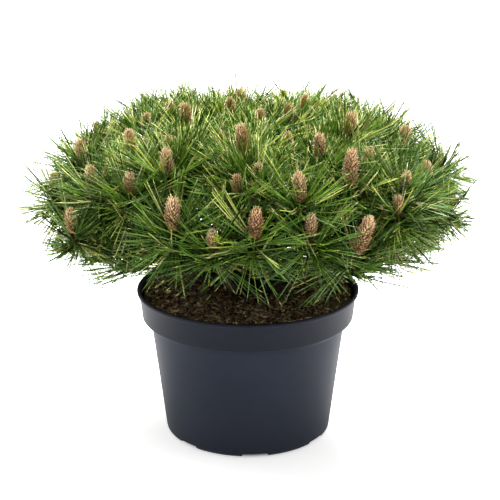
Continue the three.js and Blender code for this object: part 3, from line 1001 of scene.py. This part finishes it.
def build_soil_bits(rng, edge):
    """Crumbs of peat, slivers of bark and fibres, strewn on the bed."""
    heap = Heap()
    block = np.array([[x, y, z] for x in (-1, 1) for y in (-1, 1) for z in (-1, 1)], float)
    sides = np.array([[0, 1, 3, 2], [4, 6, 7, 5], [0, 4, 5, 1], [2, 3, 7, 6], [0, 2, 6, 4], [1, 5, 7, 3]])
    for count, *ranges, choice in SOIL_BITS:
        for _ in range(count):
            reach = edge * math.sqrt(rng.random()) * BIT_REACH
            angle = rng.random() * math.tau
            x, y = reach * math.cos(angle), reach * math.sin(angle)
            size = np.array([rng.uniform(*extent) for extent in ranges])
            shape = block * size * rng.uniform(*BIT_CORNERS, (8, 1)) + rng.normal(0, BIT_ROUGHNESS, (8, 3))
            turn, tip = rng.random() * math.tau, rng.normal(0, BIT_TIP)
            c, s = math.cos(tip), math.sin(tip)
            shape = shape @ np.array([[c, 0, s], [0, 1, 0], [-s, 0, c]])
            c, s = math.cos(turn), math.sin(turn)
            shape = shape @ np.array([[c, s, 0], [-s, c, 0], [0, 0, 1]])
            overhang = max(0, np.hypot(shape[:, 0] + x, shape[:, 1] + y).max() - edge)
            shape[:, :2] -= np.array([math.cos(angle), math.sin(angle)]) * overhang
            shape += (x, y, soil_height(x, y) + size[2] * 0.5 + BIT_LIFT)
            heap.add(shape, (sides, choice[rng.integers(len(choice))]))
    bits = heap.build("soil_bits", tone_materials("", CRUMB_TONES), smooth=False)


# Trunk, boughs and twigs


def bark_relief(depth, pitch, seed, t, angle):
    """Heights of scaly ridges with rings of old leaf scars, over a limb."""
    along = t[:, None] * pitch
    turn = angle[None, :]
    plates = np.sin(turn * 5 + 2.3 * np.sin(along * 1.7 + seed) + seed)
    plates = plates * np.sin(along * 6.1 + 1.7 * np.sin(turn * 2 + seed))
    scars = np.maximum(0, np.sin(turn * 3 + along * 13 + seed)) ** 3
    scars = scars * np.maximum(0, np.sin(along * 21 + seed * 2)) ** 2
    fine = np.sin(turn * 11 + along * 17 + seed) * 0.35
    return depth * (0.55 * np.abs(plates) ** 0.6 + 0.6 * scars + fine * 0.5 - 0.35)


def add_limb(heap, curve, radii, across, sides, bark):
    """A round limb with a radius for each of its rings. bark is the relief's depth, pitch and seed."""
    rings = len(radii)
    t = np.linspace(0, 1, rings)
    first, second = cross_axes(bezier_tangent(curve, t), across)
    angle = circle(sides)
    out = swing(first[:, None], second[:, None], angle)
    reach = radii[:, None] + bark_relief(*bark, t, angle)
    points = bezier(curve, t)[:, None] + out * reach[..., None]
    heap.add(points, (grid(rings, sides), 0), (tube_caps(rings, sides), 0))


def build_wood(boughs, shoots):
    bark_stops = [(0.25, (15, 11, 8)), (0.45, (27, 20, 14)), (0.6, (42, 31, 22)), (0.75, (21, 16, 12))]
    bumps = [(420, 0.0012), (1500, 0.0004)]
    bark = patterned_material("bark", bark_stops, bumps, scale=120, roughness=0.95, detail=8, specular=0.08)
    trunk = Heap()
    radii = trunk_radius(np.linspace(0, 1, TRUNK_RINGS))
    add_limb(trunk, trunk_curve(), radii, np.array([1.0, 0, 0]), TRUNK_SIDES, TRUNK_BARK)
    piece = trunk.build("trunk_bark", [bark])
    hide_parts("trunk")

    limbs = Heap()
    for number, bough in enumerate(boughs):
        radii = bough.radius + (BOUGH_TIP_RADIUS - bough.radius) * np.linspace(0, 1, BOUGH_RINGS)
        add_limb(limbs, bough.curve, radii, bough.across, BOUGH_SIDES, (*BOUGH_BARK, number))
    piece = limbs.build("bough_bark", [bark])
    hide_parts(*[bough.name for bough in boughs])

    twig_stops = [(0.3, (32, 24, 18)), (0.5, (54, 41, 29)), (0.7, (46, 40, 24))]
    bumps = [(600, 0.0008)]
    look = dict(scale=160, roughness=0.9, detail=6, specular=0.12)
    twig_bark = patterned_material("twig_bark", twig_stops, bumps, **look)
    twigs = Heap()
    stem_radii = STEM_RADIUS - STEM_TAPER * np.linspace(0, 1, STEM_RINGS)
    side_radii = SIDE_TWIG_RADIUS - SIDE_TWIG_TAPER * np.linspace(0, 1, SIDE_TWIG_RINGS)
    for shoot in shoots:
        add_limb(twigs, shoot.curve, stem_radii, shoot.across, STEM_SIDES, (*STEM_BARK, shoot.id))
        for side in shoot.sides:
            add_limb(twigs, side.curve, side_radii, side.across, SIDE_TWIG_SIDES, (*SIDE_TWIG_BARK, side.id))
    piece = twigs.build("twigs", [twig_bark])


# Needles


# bright, fresh, mid, deep and shaded are steps of the needles' green from lit to shaded, dealt out below as
# painted light and shade; pale is also used as a painted highlight
# Name, colour, roughness and gloss
NEEDLE_TONES = [
    ("sheath", (104, 84, 54), 0.7, 0.2),
    ("bright", (170, 182, 68), 0.36, 0.5),
    ("fresh", (108, 139, 28), 0.36, 0.45),
    ("mid", (80, 114, 14), 0.4, 0.35),
    ("deep", (50, 83, 8), 0.42, 0.25),
    ("bluish", (84, 118, 42), 0.42, 0.35),
    ("pale", (188, 192, 128), 0.38, 0.5),
    ("shaded", (18, 38, 1), 0.65, 0.06),
    ("old", (34, 44, 8), 0.65, 0.08),
    ("brown", (128, 104, 54), 0.6, 0.2),
    ("tip", (164, 158, 76), 0.5, 0.4),
    ("new", (186, 204, 60), 0.5, 0.4),
]
TONE = tone_numbers(NEEDLE_TONES)

# Each ring of a needle, with the pair's sheath and without: share of its length, share of its width
SHEATHED_RINGS = [(0.0, 1.35), (0.08, 1.2), (0.5, 1.0), (0.88, 0.75)]
BARE_RINGS = [(0.04, 0.9), (0.5, 1.0), (0.88, 0.75)]
FILL_RINGS = [(0.0, 1.0), (0.6, 0.9)]


def along_needles(roots, headings, bends, lengths, along):
    """The places at a share of the length of bent needles."""
    return roots + headings * (lengths * along)[:, None] + bends * (lengths * along**2)[:, None]


def needle_mesh(heap, profile, roots, headings, flats, bends, lengths, widths, tones, tipped):
    """Bent three-sided needles: one flat inner side and a ridged back, up to a sharp tip."""
    way = (roots, headings, bends, lengths)
    side = unit(np.cross(headings, flats))
    ridge = np.cross(side, headings)
    rings = []
    for along, share in profile:
        half = (widths * share * 0.5)[:, None]
        rings.append(spike_ring(along_needles(*way, along), side, ridge, half, NEEDLE_RIDGE))
    # The flat inner sides are paler: their own waxy stripe, and on bright needles also a painted highlight
    inner_tones = np.where(np.isin(tones, [TONE["mid"], TONE["fresh"]]), TONE["bluish"], tones)
    inner_tones[tones == TONE["bright"]] = TONE["pale"]
    quad_tones = np.repeat(tones[:, None], 3 * (len(profile) - 1), 1)
    quad_tones[:, ::3] = inner_tones[:, None]
    if profile is SHEATHED_RINGS:
        quad_tones[:, :3] = TONE["sheath"]
    triangle_tones = np.repeat(tones[:, None], 4, 1)
    triangle_tones[tipped] = TONE["tip"]
    add_spikes(heap, rings, along_needles(*way, 1), quad_tones, triangle_tones)


def deal_tones(rng, shares, count):
    weights = np.array(list(shares.values()))
    return rng.choice([TONE[name] for name in shares], count, p=weights / weights.sum())


def spray_plan(rng, stem, count, span, fans, length, shares):
    """Pairs of needles in a spiral along part of a stem: where each stands and which way it goes."""
    share = (np.arange(count) + rng.uniform(0, 1, count)) / count
    t = span[0] + (span[1] - span[0]) * share
    centers = bezier(stem.curve, t)
    tangents = bezier_tangent(stem.curve, t)
    first, second = cross_axes(tangents, stem.across)
    out = swing(first, second, np.arange(count) * GOLDEN + rng.normal(0, SPIRAL_SPREAD, count))
    fan = np.radians(np.interp(share, np.linspace(0, 1, len(fans)), fans) + rng.normal(0, FAN_SPREAD, count))
    heading = unit(swing(tangents, out, fan) - (0, 0, NEEDLE_SAG))
    lengths = length * (LOWEST_LENGTH - LENGTH_TAPER * share**2) * rng.uniform(*SHEATH_LENGTHS, count)
    # Painted shade and side light: drooping needles take the tones of low ones
    drooping = deal_tones(rng, low_tones(stem.base), count)
    tone = np.where(fan > DROOPING, drooping, deal_tones(rng, shares, count))
    # Painted light: needles high by the shell take middling young tones
    sunny = (depth_in_shell(centers) > SUNNY_DEPTH) & (centers[:, 2] > SUNNY_HEIGHT)
    tone = np.where(sunny, deal_tones(rng, young_tones(0.5), count), tone)
    return centers + out * SHEATH_STAND_OFF, heading, tangents, lengths, tone


def needle_floor(points, front_lift):
    """The lowest that a needle may hang at a place: an arch over the pot, lifted at the front."""
    reach = np.hypot(points[:, 0], points[:, 1])
    front = np.maximum(0, -points[:, 1] / np.maximum(reach, 1))
    hollow = UNDERSIDE_HOLLOW_RISE * np.maximum(0, UNDERSIDE_HOLLOW_REACH - reach)
    tilt = UNDERSIDE_TILT * points[:, 0]
    return UNDERSIDE_HEIGHT + UNDERSIDE_RISE * reach + tilt + front_lift * front**4 + hollow


def outward(points):
    """The level way from the crown's middle to each point."""
    return unit(points * (1, 1, 0) + (0, 0, 1e-6))


def sweep_up(roots, headings, bends, lengths, wisps, front_lift):
    """Turns needles that would hang too low outward and up, and tells which ones that was enough for."""
    turned = headings
    for _ in range(SWEEP_STEPS):
        tip = roots + (turned + bends) * lengths[:, None]
        lack = (needle_floor(tip, front_lift) + wisps - tip[:, 2]) / lengths
        lift = np.maximum(0, lack)[:, None]
        turned = unit(turned + lift * (0, 0, 1) + lift * SWEEP_OUTWARD * outward(roots))
    return turned, (lack < SWEEP_LACK) & ((turned * headings).sum(1) > math.cos(MOST_SWEEP))


def crown_edge(rng, roots, headings, tuft):
    """How far out each needle may reach: unevenly, by tufts, and most so at the top."""
    own = rng.uniform(0, 1, len(roots))
    up = np.clip((roots[:, 2] - SHELL_WAIST) / (SHELL_TOP - SHELL_WAIST), 0, 1) ** 2
    wisp = (TUFT_PART * tuft + (1 - TUFT_PART) * own) ** 1.5
    edge = (1 - up) * np.interp(wisp, [0, 1], CROWN_WISPS) + up * np.interp(wisp, [0, 1], TOP_WISPS)
    stray = rng.random(len(roots)) < CROWN_STRAY_SHARE
    return edge + CROWN_STRAYS * stray * np.maximum(0, headings[:, 2])


def add_pairs(rng, heap, plan, obstacles, front_lift, tuft, fill=False):
    """Two needles from each sheath, leaning apart and bending a little each its own way."""
    roots, headings, axes, lengths, tones = plan
    count = len(roots)
    parting = unit(np.cross(headings, unit(axes + rng.normal(0, PARTING_SPREAD, (count, 3)))))
    wisps = UNDERSIDE_WISPS * rng.uniform(0, 1, count)
    wisps[rng.random(count) < STRAY_SHARE] = -UNDERSIDE_STRAYS
    edge = crown_edge(rng, roots, headings, tuft) - FILL_SETBACK * fill
    steep = np.clip((headings * axes).sum(1), 0, 1)
    front = np.maximum(0, -outward(roots)[:, 1])
    grown = rng.random(count) > FRONT_THINNING * front**2 * (headings[:, 2] < HANGING)
    for _ in range(DRAW_BACK_STEPS):
        outside = depth_in_crown(roots + headings * lengths[:, None]) > edge
        roots = roots - axes * (outside * steep * DRAW_BACK)[:, None]
        lengths = np.where(outside, lengths * DRAW_BACK_SHRINK, lengths)
    for which, rings in [(-1, SHEATHED_RINGS), (1, BARE_RINGS)]:
        spread = np.radians(rng.uniform(*PAIR_ANGLES, count))
        heading = unit(swing(headings, parting * which, spread))
        bend = parting * which * rng.uniform(*BEND_APART, count)[:, None]
        bend += axes * rng.normal(*BEND_UP, count)[:, None]
        bend += np.cross(axes, headings) * rng.normal(0, BEND_ASIDE, count)[:, None]
        bend[:, 2] -= rng.uniform(*BEND_DOWN, count)
        length = lengths * rng.uniform(*PAIR_LENGTHS, count)
        heading, swept = sweep_up(roots, heading, bend, length, wisps, front_lift)
        for _ in range(TRIM_STEPS):
            tip = roots + (heading + bend) * length[:, None]
            length = np.where(depth_in_crown(tip) > edge, length * TRIM_SHRINK, length)
        clear = clear_of(roots, heading, bend, length, obstacles)
        widths = (FILL_NEEDLE_WIDTH if fill else NEEDLE_WIDTH) * rng.uniform(*NEEDLE_WIDTHS, count)
        tipped = rng.random(count) < TIPPED_SHARE
        keep = np.flatnonzero(clear & swept & grown)
        needles = (roots, heading, parting * -which, bend, length, widths, tones, tipped)
        needle_mesh(heap, FILL_RINGS if fill else rings, *[values[keep] for values in needles])


def clear_of(roots, headings, bends, lengths, obstacles):
    """False for a needle that would run through a candle."""
    low, high, radius = obstacles
    clear = np.ones(len(roots), bool)
    axis = high - low
    for along in CLEAR_PLACES:
        offset = along_needles(roots, headings, bends, lengths, along)[:, None] - low[None]
        t = np.clip((offset * axis).sum(-1) / (axis * axis).sum(-1), 0, 1)
        distance = np.linalg.norm(offset - t[..., None] * axis, axis=-1)
        clear &= (distance > radius).all(1)
    return clear


def add_fresh_shoot(heap, candle):
    """A tuft of short new needles on the side of a candle."""
    rng = np.random.default_rng(3)
    root = candle.base + candle.heading * candle.candle * FRESH_SHOOT_SHARE + FRESH_SHOOT_OFFSET
    count = FRESH_NEEDLES
    headings = unit(np.array(FRESH_SHOOT_WAY) + rng.normal(0, FRESH_SHOOT_SPREAD, (count, 3)))
    flats = unit(np.cross(headings, rng.normal(0, 1, (count, 3))))
    lengths = FRESH_NEEDLE_LENGTH * rng.uniform(*FRESH_NEEDLE_LENGTHS, count)
    needle_mesh(
        heap, BARE_RINGS, np.repeat(root[None], count, 0), headings, flats, flats * FRESH_NEEDLE_BEND,
        lengths, np.full(count, FRESH_NEEDLE_WIDTH), np.full(count, TONE["new"]), np.zeros(count, bool),
    )


# Angles from the stem, from the lowest needles of a spray to the highest, inside the crown and at its rim
INNER_FAN = [40, 50, 62, 66, 54, 38, 23]
RIM_FAN = [154, 138, 118, 104, 92, 78, 57, 33]
OLD_FAN = [100, 85]

# How often each colour comes inside the crown, mostly dark as painted shade: on side twigs, and on the older
# part of a stem
INSIDE = dict(fresh=0.15, mid=0.6, deep=2, shaded=9, old=1, brown=0.1)
AGED_AND_SHADED = dict(shaded=6, deep=1.5, old=2, brown=0.3)

# Needles at a wider angle than this from their stem take the colours of low ones, with their painted shade
# and painted side light
DROOPING = math.radians(108)

# Painted light from above: shoots have more bright needles from this height on, up to all of their share this
# much higher
SHADE_HEIGHT = 210
SHADE_DEPTH = 110

# This far aside the crown gets painted light from the side: low needles turn light over the reach, and each
# millimetre further aside counts for a shoot as so many of height in its painted light from above
SIDE_LIGHT_FROM = 92
SIDE_LIGHT_REACH = 40
SIDE_LIGHT = 1.2

# Painted light: needles that grow this near the shell, and this high, take middling young tones, whatever
# their angle
SUNNY_DEPTH = 0.84
SUNNY_HEIGHT = 272


def young_tones(mood):
    """How often each colour comes on a shoot, as painted light and shade: the higher mood, the more bright
    and the fewer shaded ones. mood is the shoot's own share of bright ones.
    """
    return dict(
        bright=1.9 * mood, fresh=1.4 + mood, mid=3, deep=3 - 1.4 * mood,
        bluish=0.2, pale=0.9 * mood, shaded=2.1 - 1.6 * mood, brown=0.08,
    )


def low_tones(place):
    """Low needles take painted shade over the pot and painted light at the crown's two sides."""
    lit = min(1, max(0, (abs(place[0]) - SIDE_LIGHT_FROM) / SIDE_LIGHT_REACH))
    return dict(
        bright=1.2 * lit, fresh=0.7 + 2.2 * lit, mid=2.2, deep=3 - 2.4 * lit, bluish=0.6 + 1.4 * lit,
        pale=2 * lit, shaded=2 - 2 * lit, old=0.6 - 0.5 * lit, brown=0.1,
    )


def shoot_fans(share):
    """Needles fold back more the nearer a shoot is to the crown's rim."""
    inner = np.interp(np.linspace(0, 1, len(RIM_FAN)), np.linspace(0, 1, len(INNER_FAN)), INNER_FAN)
    return inner + (np.array(RIM_FAN) - inner) * share**2.5


def add_shoot_needles(rng, main, fill, shoot, obstacles):
    """The rosette round a candle or a bud, the old needles under it and those of the side twigs."""
    tuft = noise(shoot.id, 8, 1)
    low = low_tones(shoot.base)
    fans = shoot_fans(shoot.share)
    front = max(0, -unit(shoot.base * (1, 1, 0))[1])
    if shoot.candle > BUD_LENGTH:
        # Painted light from above and from the side: shoots higher up or further aside get more bright
        # needles
        aside = max(0, abs(shoot.base[0]) - SIDE_LIGHT_FROM)
        sunny = min(1, max(0, (shoot.base[2] + SIDE_LIGHT * aside - SHADE_HEIGHT) / SHADE_DEPTH))
        tones = young_tones(noise(shoot.id, 6, 1) * sunny)
        old_pair_tones = AGED_AND_SHADED
        pairs = PAIRS
        front_lift = RIM_FRONT_LIFT + HANG_SPREAD * noise(shoot.id, 15, 1)
    else:
        fans = fans * (1 - SKIRT_CLOSING * front**4)
        tones = old_pair_tones = low
        pairs = round(SKIRT_PAIRS * (1 - SKIRT_THINNING * front**4))
        front_lift = SKIRT_FRONT_LIFT
    start = shoot.core_start
    rosette_start = start + (1 - ROSETTE_LENGTH / CORE_LENGTH) * (1 - start) * shoot.share
    plan = spray_plan(rng, shoot, pairs, (rosette_start, ROSETTE_END), fans, NEEDLE_LENGTH, tones)
    add_pairs(rng, main, plan, obstacles, front_lift, tuft)
    old_span = (max(OLD_LOWEST, start - OLD_REACH), rosette_start)
    plan = spray_plan(rng, shoot, OLD_PAIRS, old_span, OLD_FAN, SIDE_NEEDLE_LENGTH, old_pair_tones)
    add_pairs(rng, fill, plan, obstacles, FILL_FRONT_LIFT, tuft, fill=True)
    for side in shoot.sides:
        inside = low_tones(side.base) if side.base[2] < LOW_TWIG_HEIGHT else INSIDE
        plan = spray_plan(rng, side, SIDE_PAIRS, SIDE_SPAN, INNER_FAN, SIDE_NEEDLE_LENGTH, inside)
        add_pairs(rng, fill, plan, obstacles, FILL_FRONT_LIFT, tuft, fill=True)


def build_needles(limbs, shoots):
    materials = tone_materials("needle_", NEEDLE_TONES)
    with_candle = [shoot for shoot in shoots if shoot.candle > BUD_LENGTH]
    obstacles = (
        np.array([shoot.base + shoot.heading * CLEAR_FROM for shoot in with_candle]),
        np.array([shoot.base + shoot.heading * shoot.candle * CLEAR_UP_TO for shoot in with_candle]),
        np.array([candle_width(shoot.candle) * CLEAR_WIDTH for shoot in with_candle]),
    )
    rng = np.random.default_rng(5)
    levels = {}
    for limb in limbs:
        levels.setdefault(limb.level, []).append(limb)
    for level, members in levels.items():
        main, fill = Heap(), Heap()
        for limb in members:
            for shoot in limb.shoots:
                add_shoot_needles(rng, main, fill, shoot, obstacles)
        if level == "low":
            add_fresh_shoot(main, shoots[FRESH_SHOOT_CANDLE])
        piece = main.build(f"needles_{level}", materials)
        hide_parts(*[limb.mass for limb in members])
        piece = fill.build(f"inner_needles_{level}", materials)


# Candles


# Name, colour, roughness and gloss
CANDLE_TONES = [
    ("core", (104, 78, 54), 0.85, 0.25),
    ("russet", (150, 112, 76), 0.8, 0.25),
    ("ruddy", (176, 112, 86), 0.8, 0.25),
    ("tan", (172, 138, 96), 0.75, 0.25),
    ("rose", (194, 156, 118), 0.75, 0.25),
    ("peach", (212, 184, 142), 0.7, 0.25),
    ("cream", (230, 214, 178), 0.7, 0.25),
    ("olive", (146, 138, 78), 0.75, 0.25),
    ("shade", (66, 48, 38), 0.85, 0.25),
]
CANDLE_TONE = tone_numbers(CANDLE_TONES)

# Each ring of a scale: share of its length, share of its width
SCALE_RINGS = [(0.0, 0.8), (0.5, 1.0), (0.8, 0.6)]

# The spindle: shares of its length, and its half width there as a share of the widest
SPINDLE = ([0, 0.08, 0.25, 0.5, 0.7, 0.86, 0.96, 1], [0.4, 0.66, 0.9, 1.0, 0.97, 0.82, 0.55, 0.3])


def candle_width(length):
    breadth = CANDLE_BREADTH if length > BUD_LENGTH else BUD_BREADTH
    return min(BREADTH_GROWTH * length + breadth, CANDLE_WIDEST)


def pick_tones(values, steps):
    """For each value the tone of the highest step that it reaches."""
    tones = np.full(len(values), CANDLE_TONE[steps[0][1]])
    for step, name in steps[1:]:
        tones[values >= step] = CANDLE_TONE[name]
    return tones


def scale_tones(rng, shoot, share):
    """Tones for the low, the high and the tip part of each scale, paler towards the candle's tip."""
    ripeness = share * 0.9 + rng.normal(0, 0.16, len(share)) + (noise(shoot.id, 7, 1) - 0.5) * 0.3
    warm = "ruddy" if noise(shoot.id, 7, 3) < RUDDY_SHARE else "tan"
    low = pick_tones(ripeness, [(0, "russet"), (0.25, warm), (0.75, "rose")])
    high = pick_tones(ripeness, [(0, warm), (0.3, "rose"), (0.65, "peach")])
    tip = pick_tones(ripeness, [(0, "rose"), (0.2, "peach"), (0.5, "cream")])
    greenish = rng.random(len(share)) < 0.32 * (1 - share) * (0.4 + noise(shoot.id, 7, 2))
    low[greenish] = CANDLE_TONE["olive"]
    high[greenish & (rng.random(len(share)) < 0.6)] = CANDLE_TONE["olive"]
    return low, high, tip


def add_candle(rng, heap, shoot):
    """A spindle clad in a spiral of pointed scales whose tips stand off, darker at its foot."""
    length, heading = shoot.candle, shoot.heading
    (first,), (second,) = cross_axes(heading[None], shoot.across)
    widest = candle_width(length) * 0.5
    base = shoot.base - heading * CANDLE_SINK
    tall = length > BUD_LENGTH

    sides, rings = (10, 9) if tall else (5, 5)
    share = np.linspace(0, 1, rings)
    out = swing(first, second, circle(sides))
    radii = np.interp(share, *SPINDLE) * widest * SPINDLE_WIDTH
    up = heading * (share * length * SPINDLE_LENGTH)[:, None, None]
    points = base + up + out[None] * radii[:, None, None]
    core_tones = np.repeat([CANDLE_TONE["shade"]] * 2 + [CANDLE_TONE["core"]] * (rings - 3), sides)
    heap.add(points, (grid(rings, sides), core_tones), (tube_caps(rings, sides), CANDLE_TONE["core"]))

    count = int(SCALES + length * SCALES_PER_MM) if tall else BUD_SCALES
    k = np.arange(count)
    share = (k + 0.5) / count
    place = SCALE_LOWEST + SCALE_SPAN * share
    radial = swing(first, second, k * GOLDEN + rng.normal(0, SCALE_TURN_SPREAD, count))
    beside = np.cross(heading, radial)
    spread = np.radians(SCALE_ANGLE - SCALE_ANGLE_DROP * share**2 + rng.normal(0, SCALE_ANGLE_SPREAD, count))
    grow = swing(heading, radial, spread)
    back = np.cross(grow, beside)
    reach = np.interp(place, *SPINDLE) * widest * SCALE_FOOT
    root = base + heading * (place * (length - SCALE_ROOM))[:, None] + radial * reach[:, None]
    lengths = (SCALE_LENGTH + SCALE_GROWTH * length) * rng.uniform(*SCALE_LENGTHS, count)
    full = SMALL_SCALES + (1 - SMALL_SCALES) * min(1, length / FULL_SCALES_FROM)
    widths = (SCALE_WIDTH - SCALE_TAPER * share) * full * rng.uniform(*SCALE_WIDTHS, count)
    rows = []
    for along, wide in SCALE_RINGS:
        half = (widths * wide * 0.5)[:, None]
        rows.append(spike_ring(root + grow * (lengths * along)[:, None], beside, back, half, SCALE_RIDGE))
    tips = root + grow * lengths[:, None] + radial * SCALE_TIP_OFF
    low, high, tip = scale_tones(rng, shoot, share)
    quad_tones = np.repeat(np.stack([low, high], 1), 3, 1)
    add_spikes(heap, rows, tips, quad_tones, np.stack([tip, tip, tip, low], 1))


def build_candles(shoots):
    rng = np.random.default_rng(8)
    materials = tone_materials("candle_", CANDLE_TONES)
    heap = Heap()
    buds = Heap()
    for shoot in shoots:
        add_candle(rng, heap if shoot.candle > BUD_LENGTH else buds, shoot)
        for side in shoot.sides:
            add_candle(rng, buds, side)
    for name, pile in [("candles", heap), ("buds", buds)]:
        piece = pile.build(name, materials, smooth=False)


# Floor, light and camera


def floor_material():
    """White, glowing a little from within as painted light but for where the pot stands, and painted black
    under the pot's foot as painted shade that shows in the drain notches.
    """
    material, tree, shader = new_material("floor_white", FLOOR_WHITE, roughness=0.95, specular=0.05)
    shader.inputs["Emission Color"].default_value = (1, 1, 1, 1)
    lit, shade_end = (FOOT_RADIUS - NOTCH_LIT_DEPTH) * MM, (FOOT_RADIUS + FLOOR_SHADE_REACH) * MM
    place = add_node(tree, "TexCoord")
    reach = add_node(tree, "VectorMath", operation="LENGTH")
    glow = add_node(tree, "MapRange", From_Min=lit, From_Max=shade_end, To_Max=FLOOR_GLOW)
    under = add_node(tree, "MapRange", From_Min=lit, From_Max=RIM_RADIUS * MM)
    # Painted shade: black under the pot's foot, seen through the drain notches
    white = color_ramp(tree, [(0.0, (0.001, 0.001, 0.001, 1)), (0.02, FLOOR_WHITE)])
    wire(
        tree,
        (place, "Object", "Vector", reach, "Value", "Value", glow, "Result", "Emission Strength", shader),
        (reach, "Value", "Value", under, "Result", "Fac", white, "Color", "Base Color", shader),
    )
    return material


def build_stage():
    mesh = bpy.data.meshes.new("floor")
    corners = [(x * FLOOR_HALF, y * FLOOR_HALF, 0) for x, y in [(-1, -1), (1, -1), (1, 1), (-1, 1)]]
    mesh.from_pydata(corners, [], [(0, 1, 2, 3)])
    floor = add_object("floor", mesh)
    mesh.materials.append(floor_material())


def build_sky():
    """Soft white light from all round, weaker from the front, and a plain white backdrop."""
    world = bpy.data.worlds.new("studio")
    world.use_nodes = True
    tree = world.node_tree
    background = tree.nodes["Background"]
    background.inputs["Color"].default_value = (1, 1, 1, 1)
    direction = add_node(tree, "TexCoord")
    axes = add_node(tree, "SeparateXYZ")
    front = add_node(tree, "MapRange", From_Min=-0.9, From_Max=0.2, To_Min=SKY_FRONT, To_Max=SKY_BACK)
    low = add_node(tree, "MapRange", From_Min=0, From_Max=0.6, To_Min=SKY_LOW, To_Max=SKY_HIGH)
    total = add_node(tree, "Math", operation="MULTIPLY")
    shown = add_node(tree, "Math", operation="MAXIMUM")
    wire(
        tree,
        (direction, "Generated", "Vector", axes, "Y", "Value", front, "Result", 0, total),
        (axes, "Z", "Value", low, "Result", 1, total),
        (total, "Value", 0, shown, "Value", "Strength", background),
        (add_node(tree, "LightPath"), "Is Camera Ray", 1, shown),
    )
    bpy.context.scene.world = world
    bpy.context.scene.view_settings.view_transform = "Standard"
    bpy.context.scene.view_settings.look = "None"


def add_lamp(name, place, target, size, power):
    lamp = bpy.data.lights.new(name, "AREA")
    lamp.shape = "RECTANGLE"
    lamp.size, lamp.size_y = size
    lamp.energy = power
    holder = add_object(name, lamp)
    holder.location = place
    holder.rotation_euler = (Vector(target) - Vector(place)).to_track_quat("-Z", "Y").to_euler()


def build_camera():
    data = bpy.data.cameras.new("camera")
    data.sensor_width = SENSOR_WIDTH
    data.lens = CAMERA_LENS
    camera = add_object("camera", data)
    camera.location = Vector(CAMERA_PLACE) * MM
    camera.rotation_euler = (math.radians(90 - CAMERA_PITCH), 0, 0)
    bpy.context.scene.camera = camera


def build_plant():
    boughs = plan_boughs()
    trunk = trunk_curve()
    heading = bezier_tangent(trunk, 1)[0]
    leader = SimpleNamespace(mass="needles_leader", level="upper", tip=trunk[3], heading=heading, shoots=[])
    limbs = boughs + [leader]
    shoots = plan_shoots()
    give_roots(shoots, limbs)
    set_seen_candles(shoots)
    sink_unseen_candles(shoots)
    give_stems(shoots)
    plan_side_twigs(shoots)
    build_wood(boughs, shoots)
    build_needles(limbs, shoots)
    build_candles(shoots)


build_camera()
build_stage()
build_sky()
for lamp in LAMPS:
    add_lamp(*lamp)
build_pot()
build_soil()
build_plant()
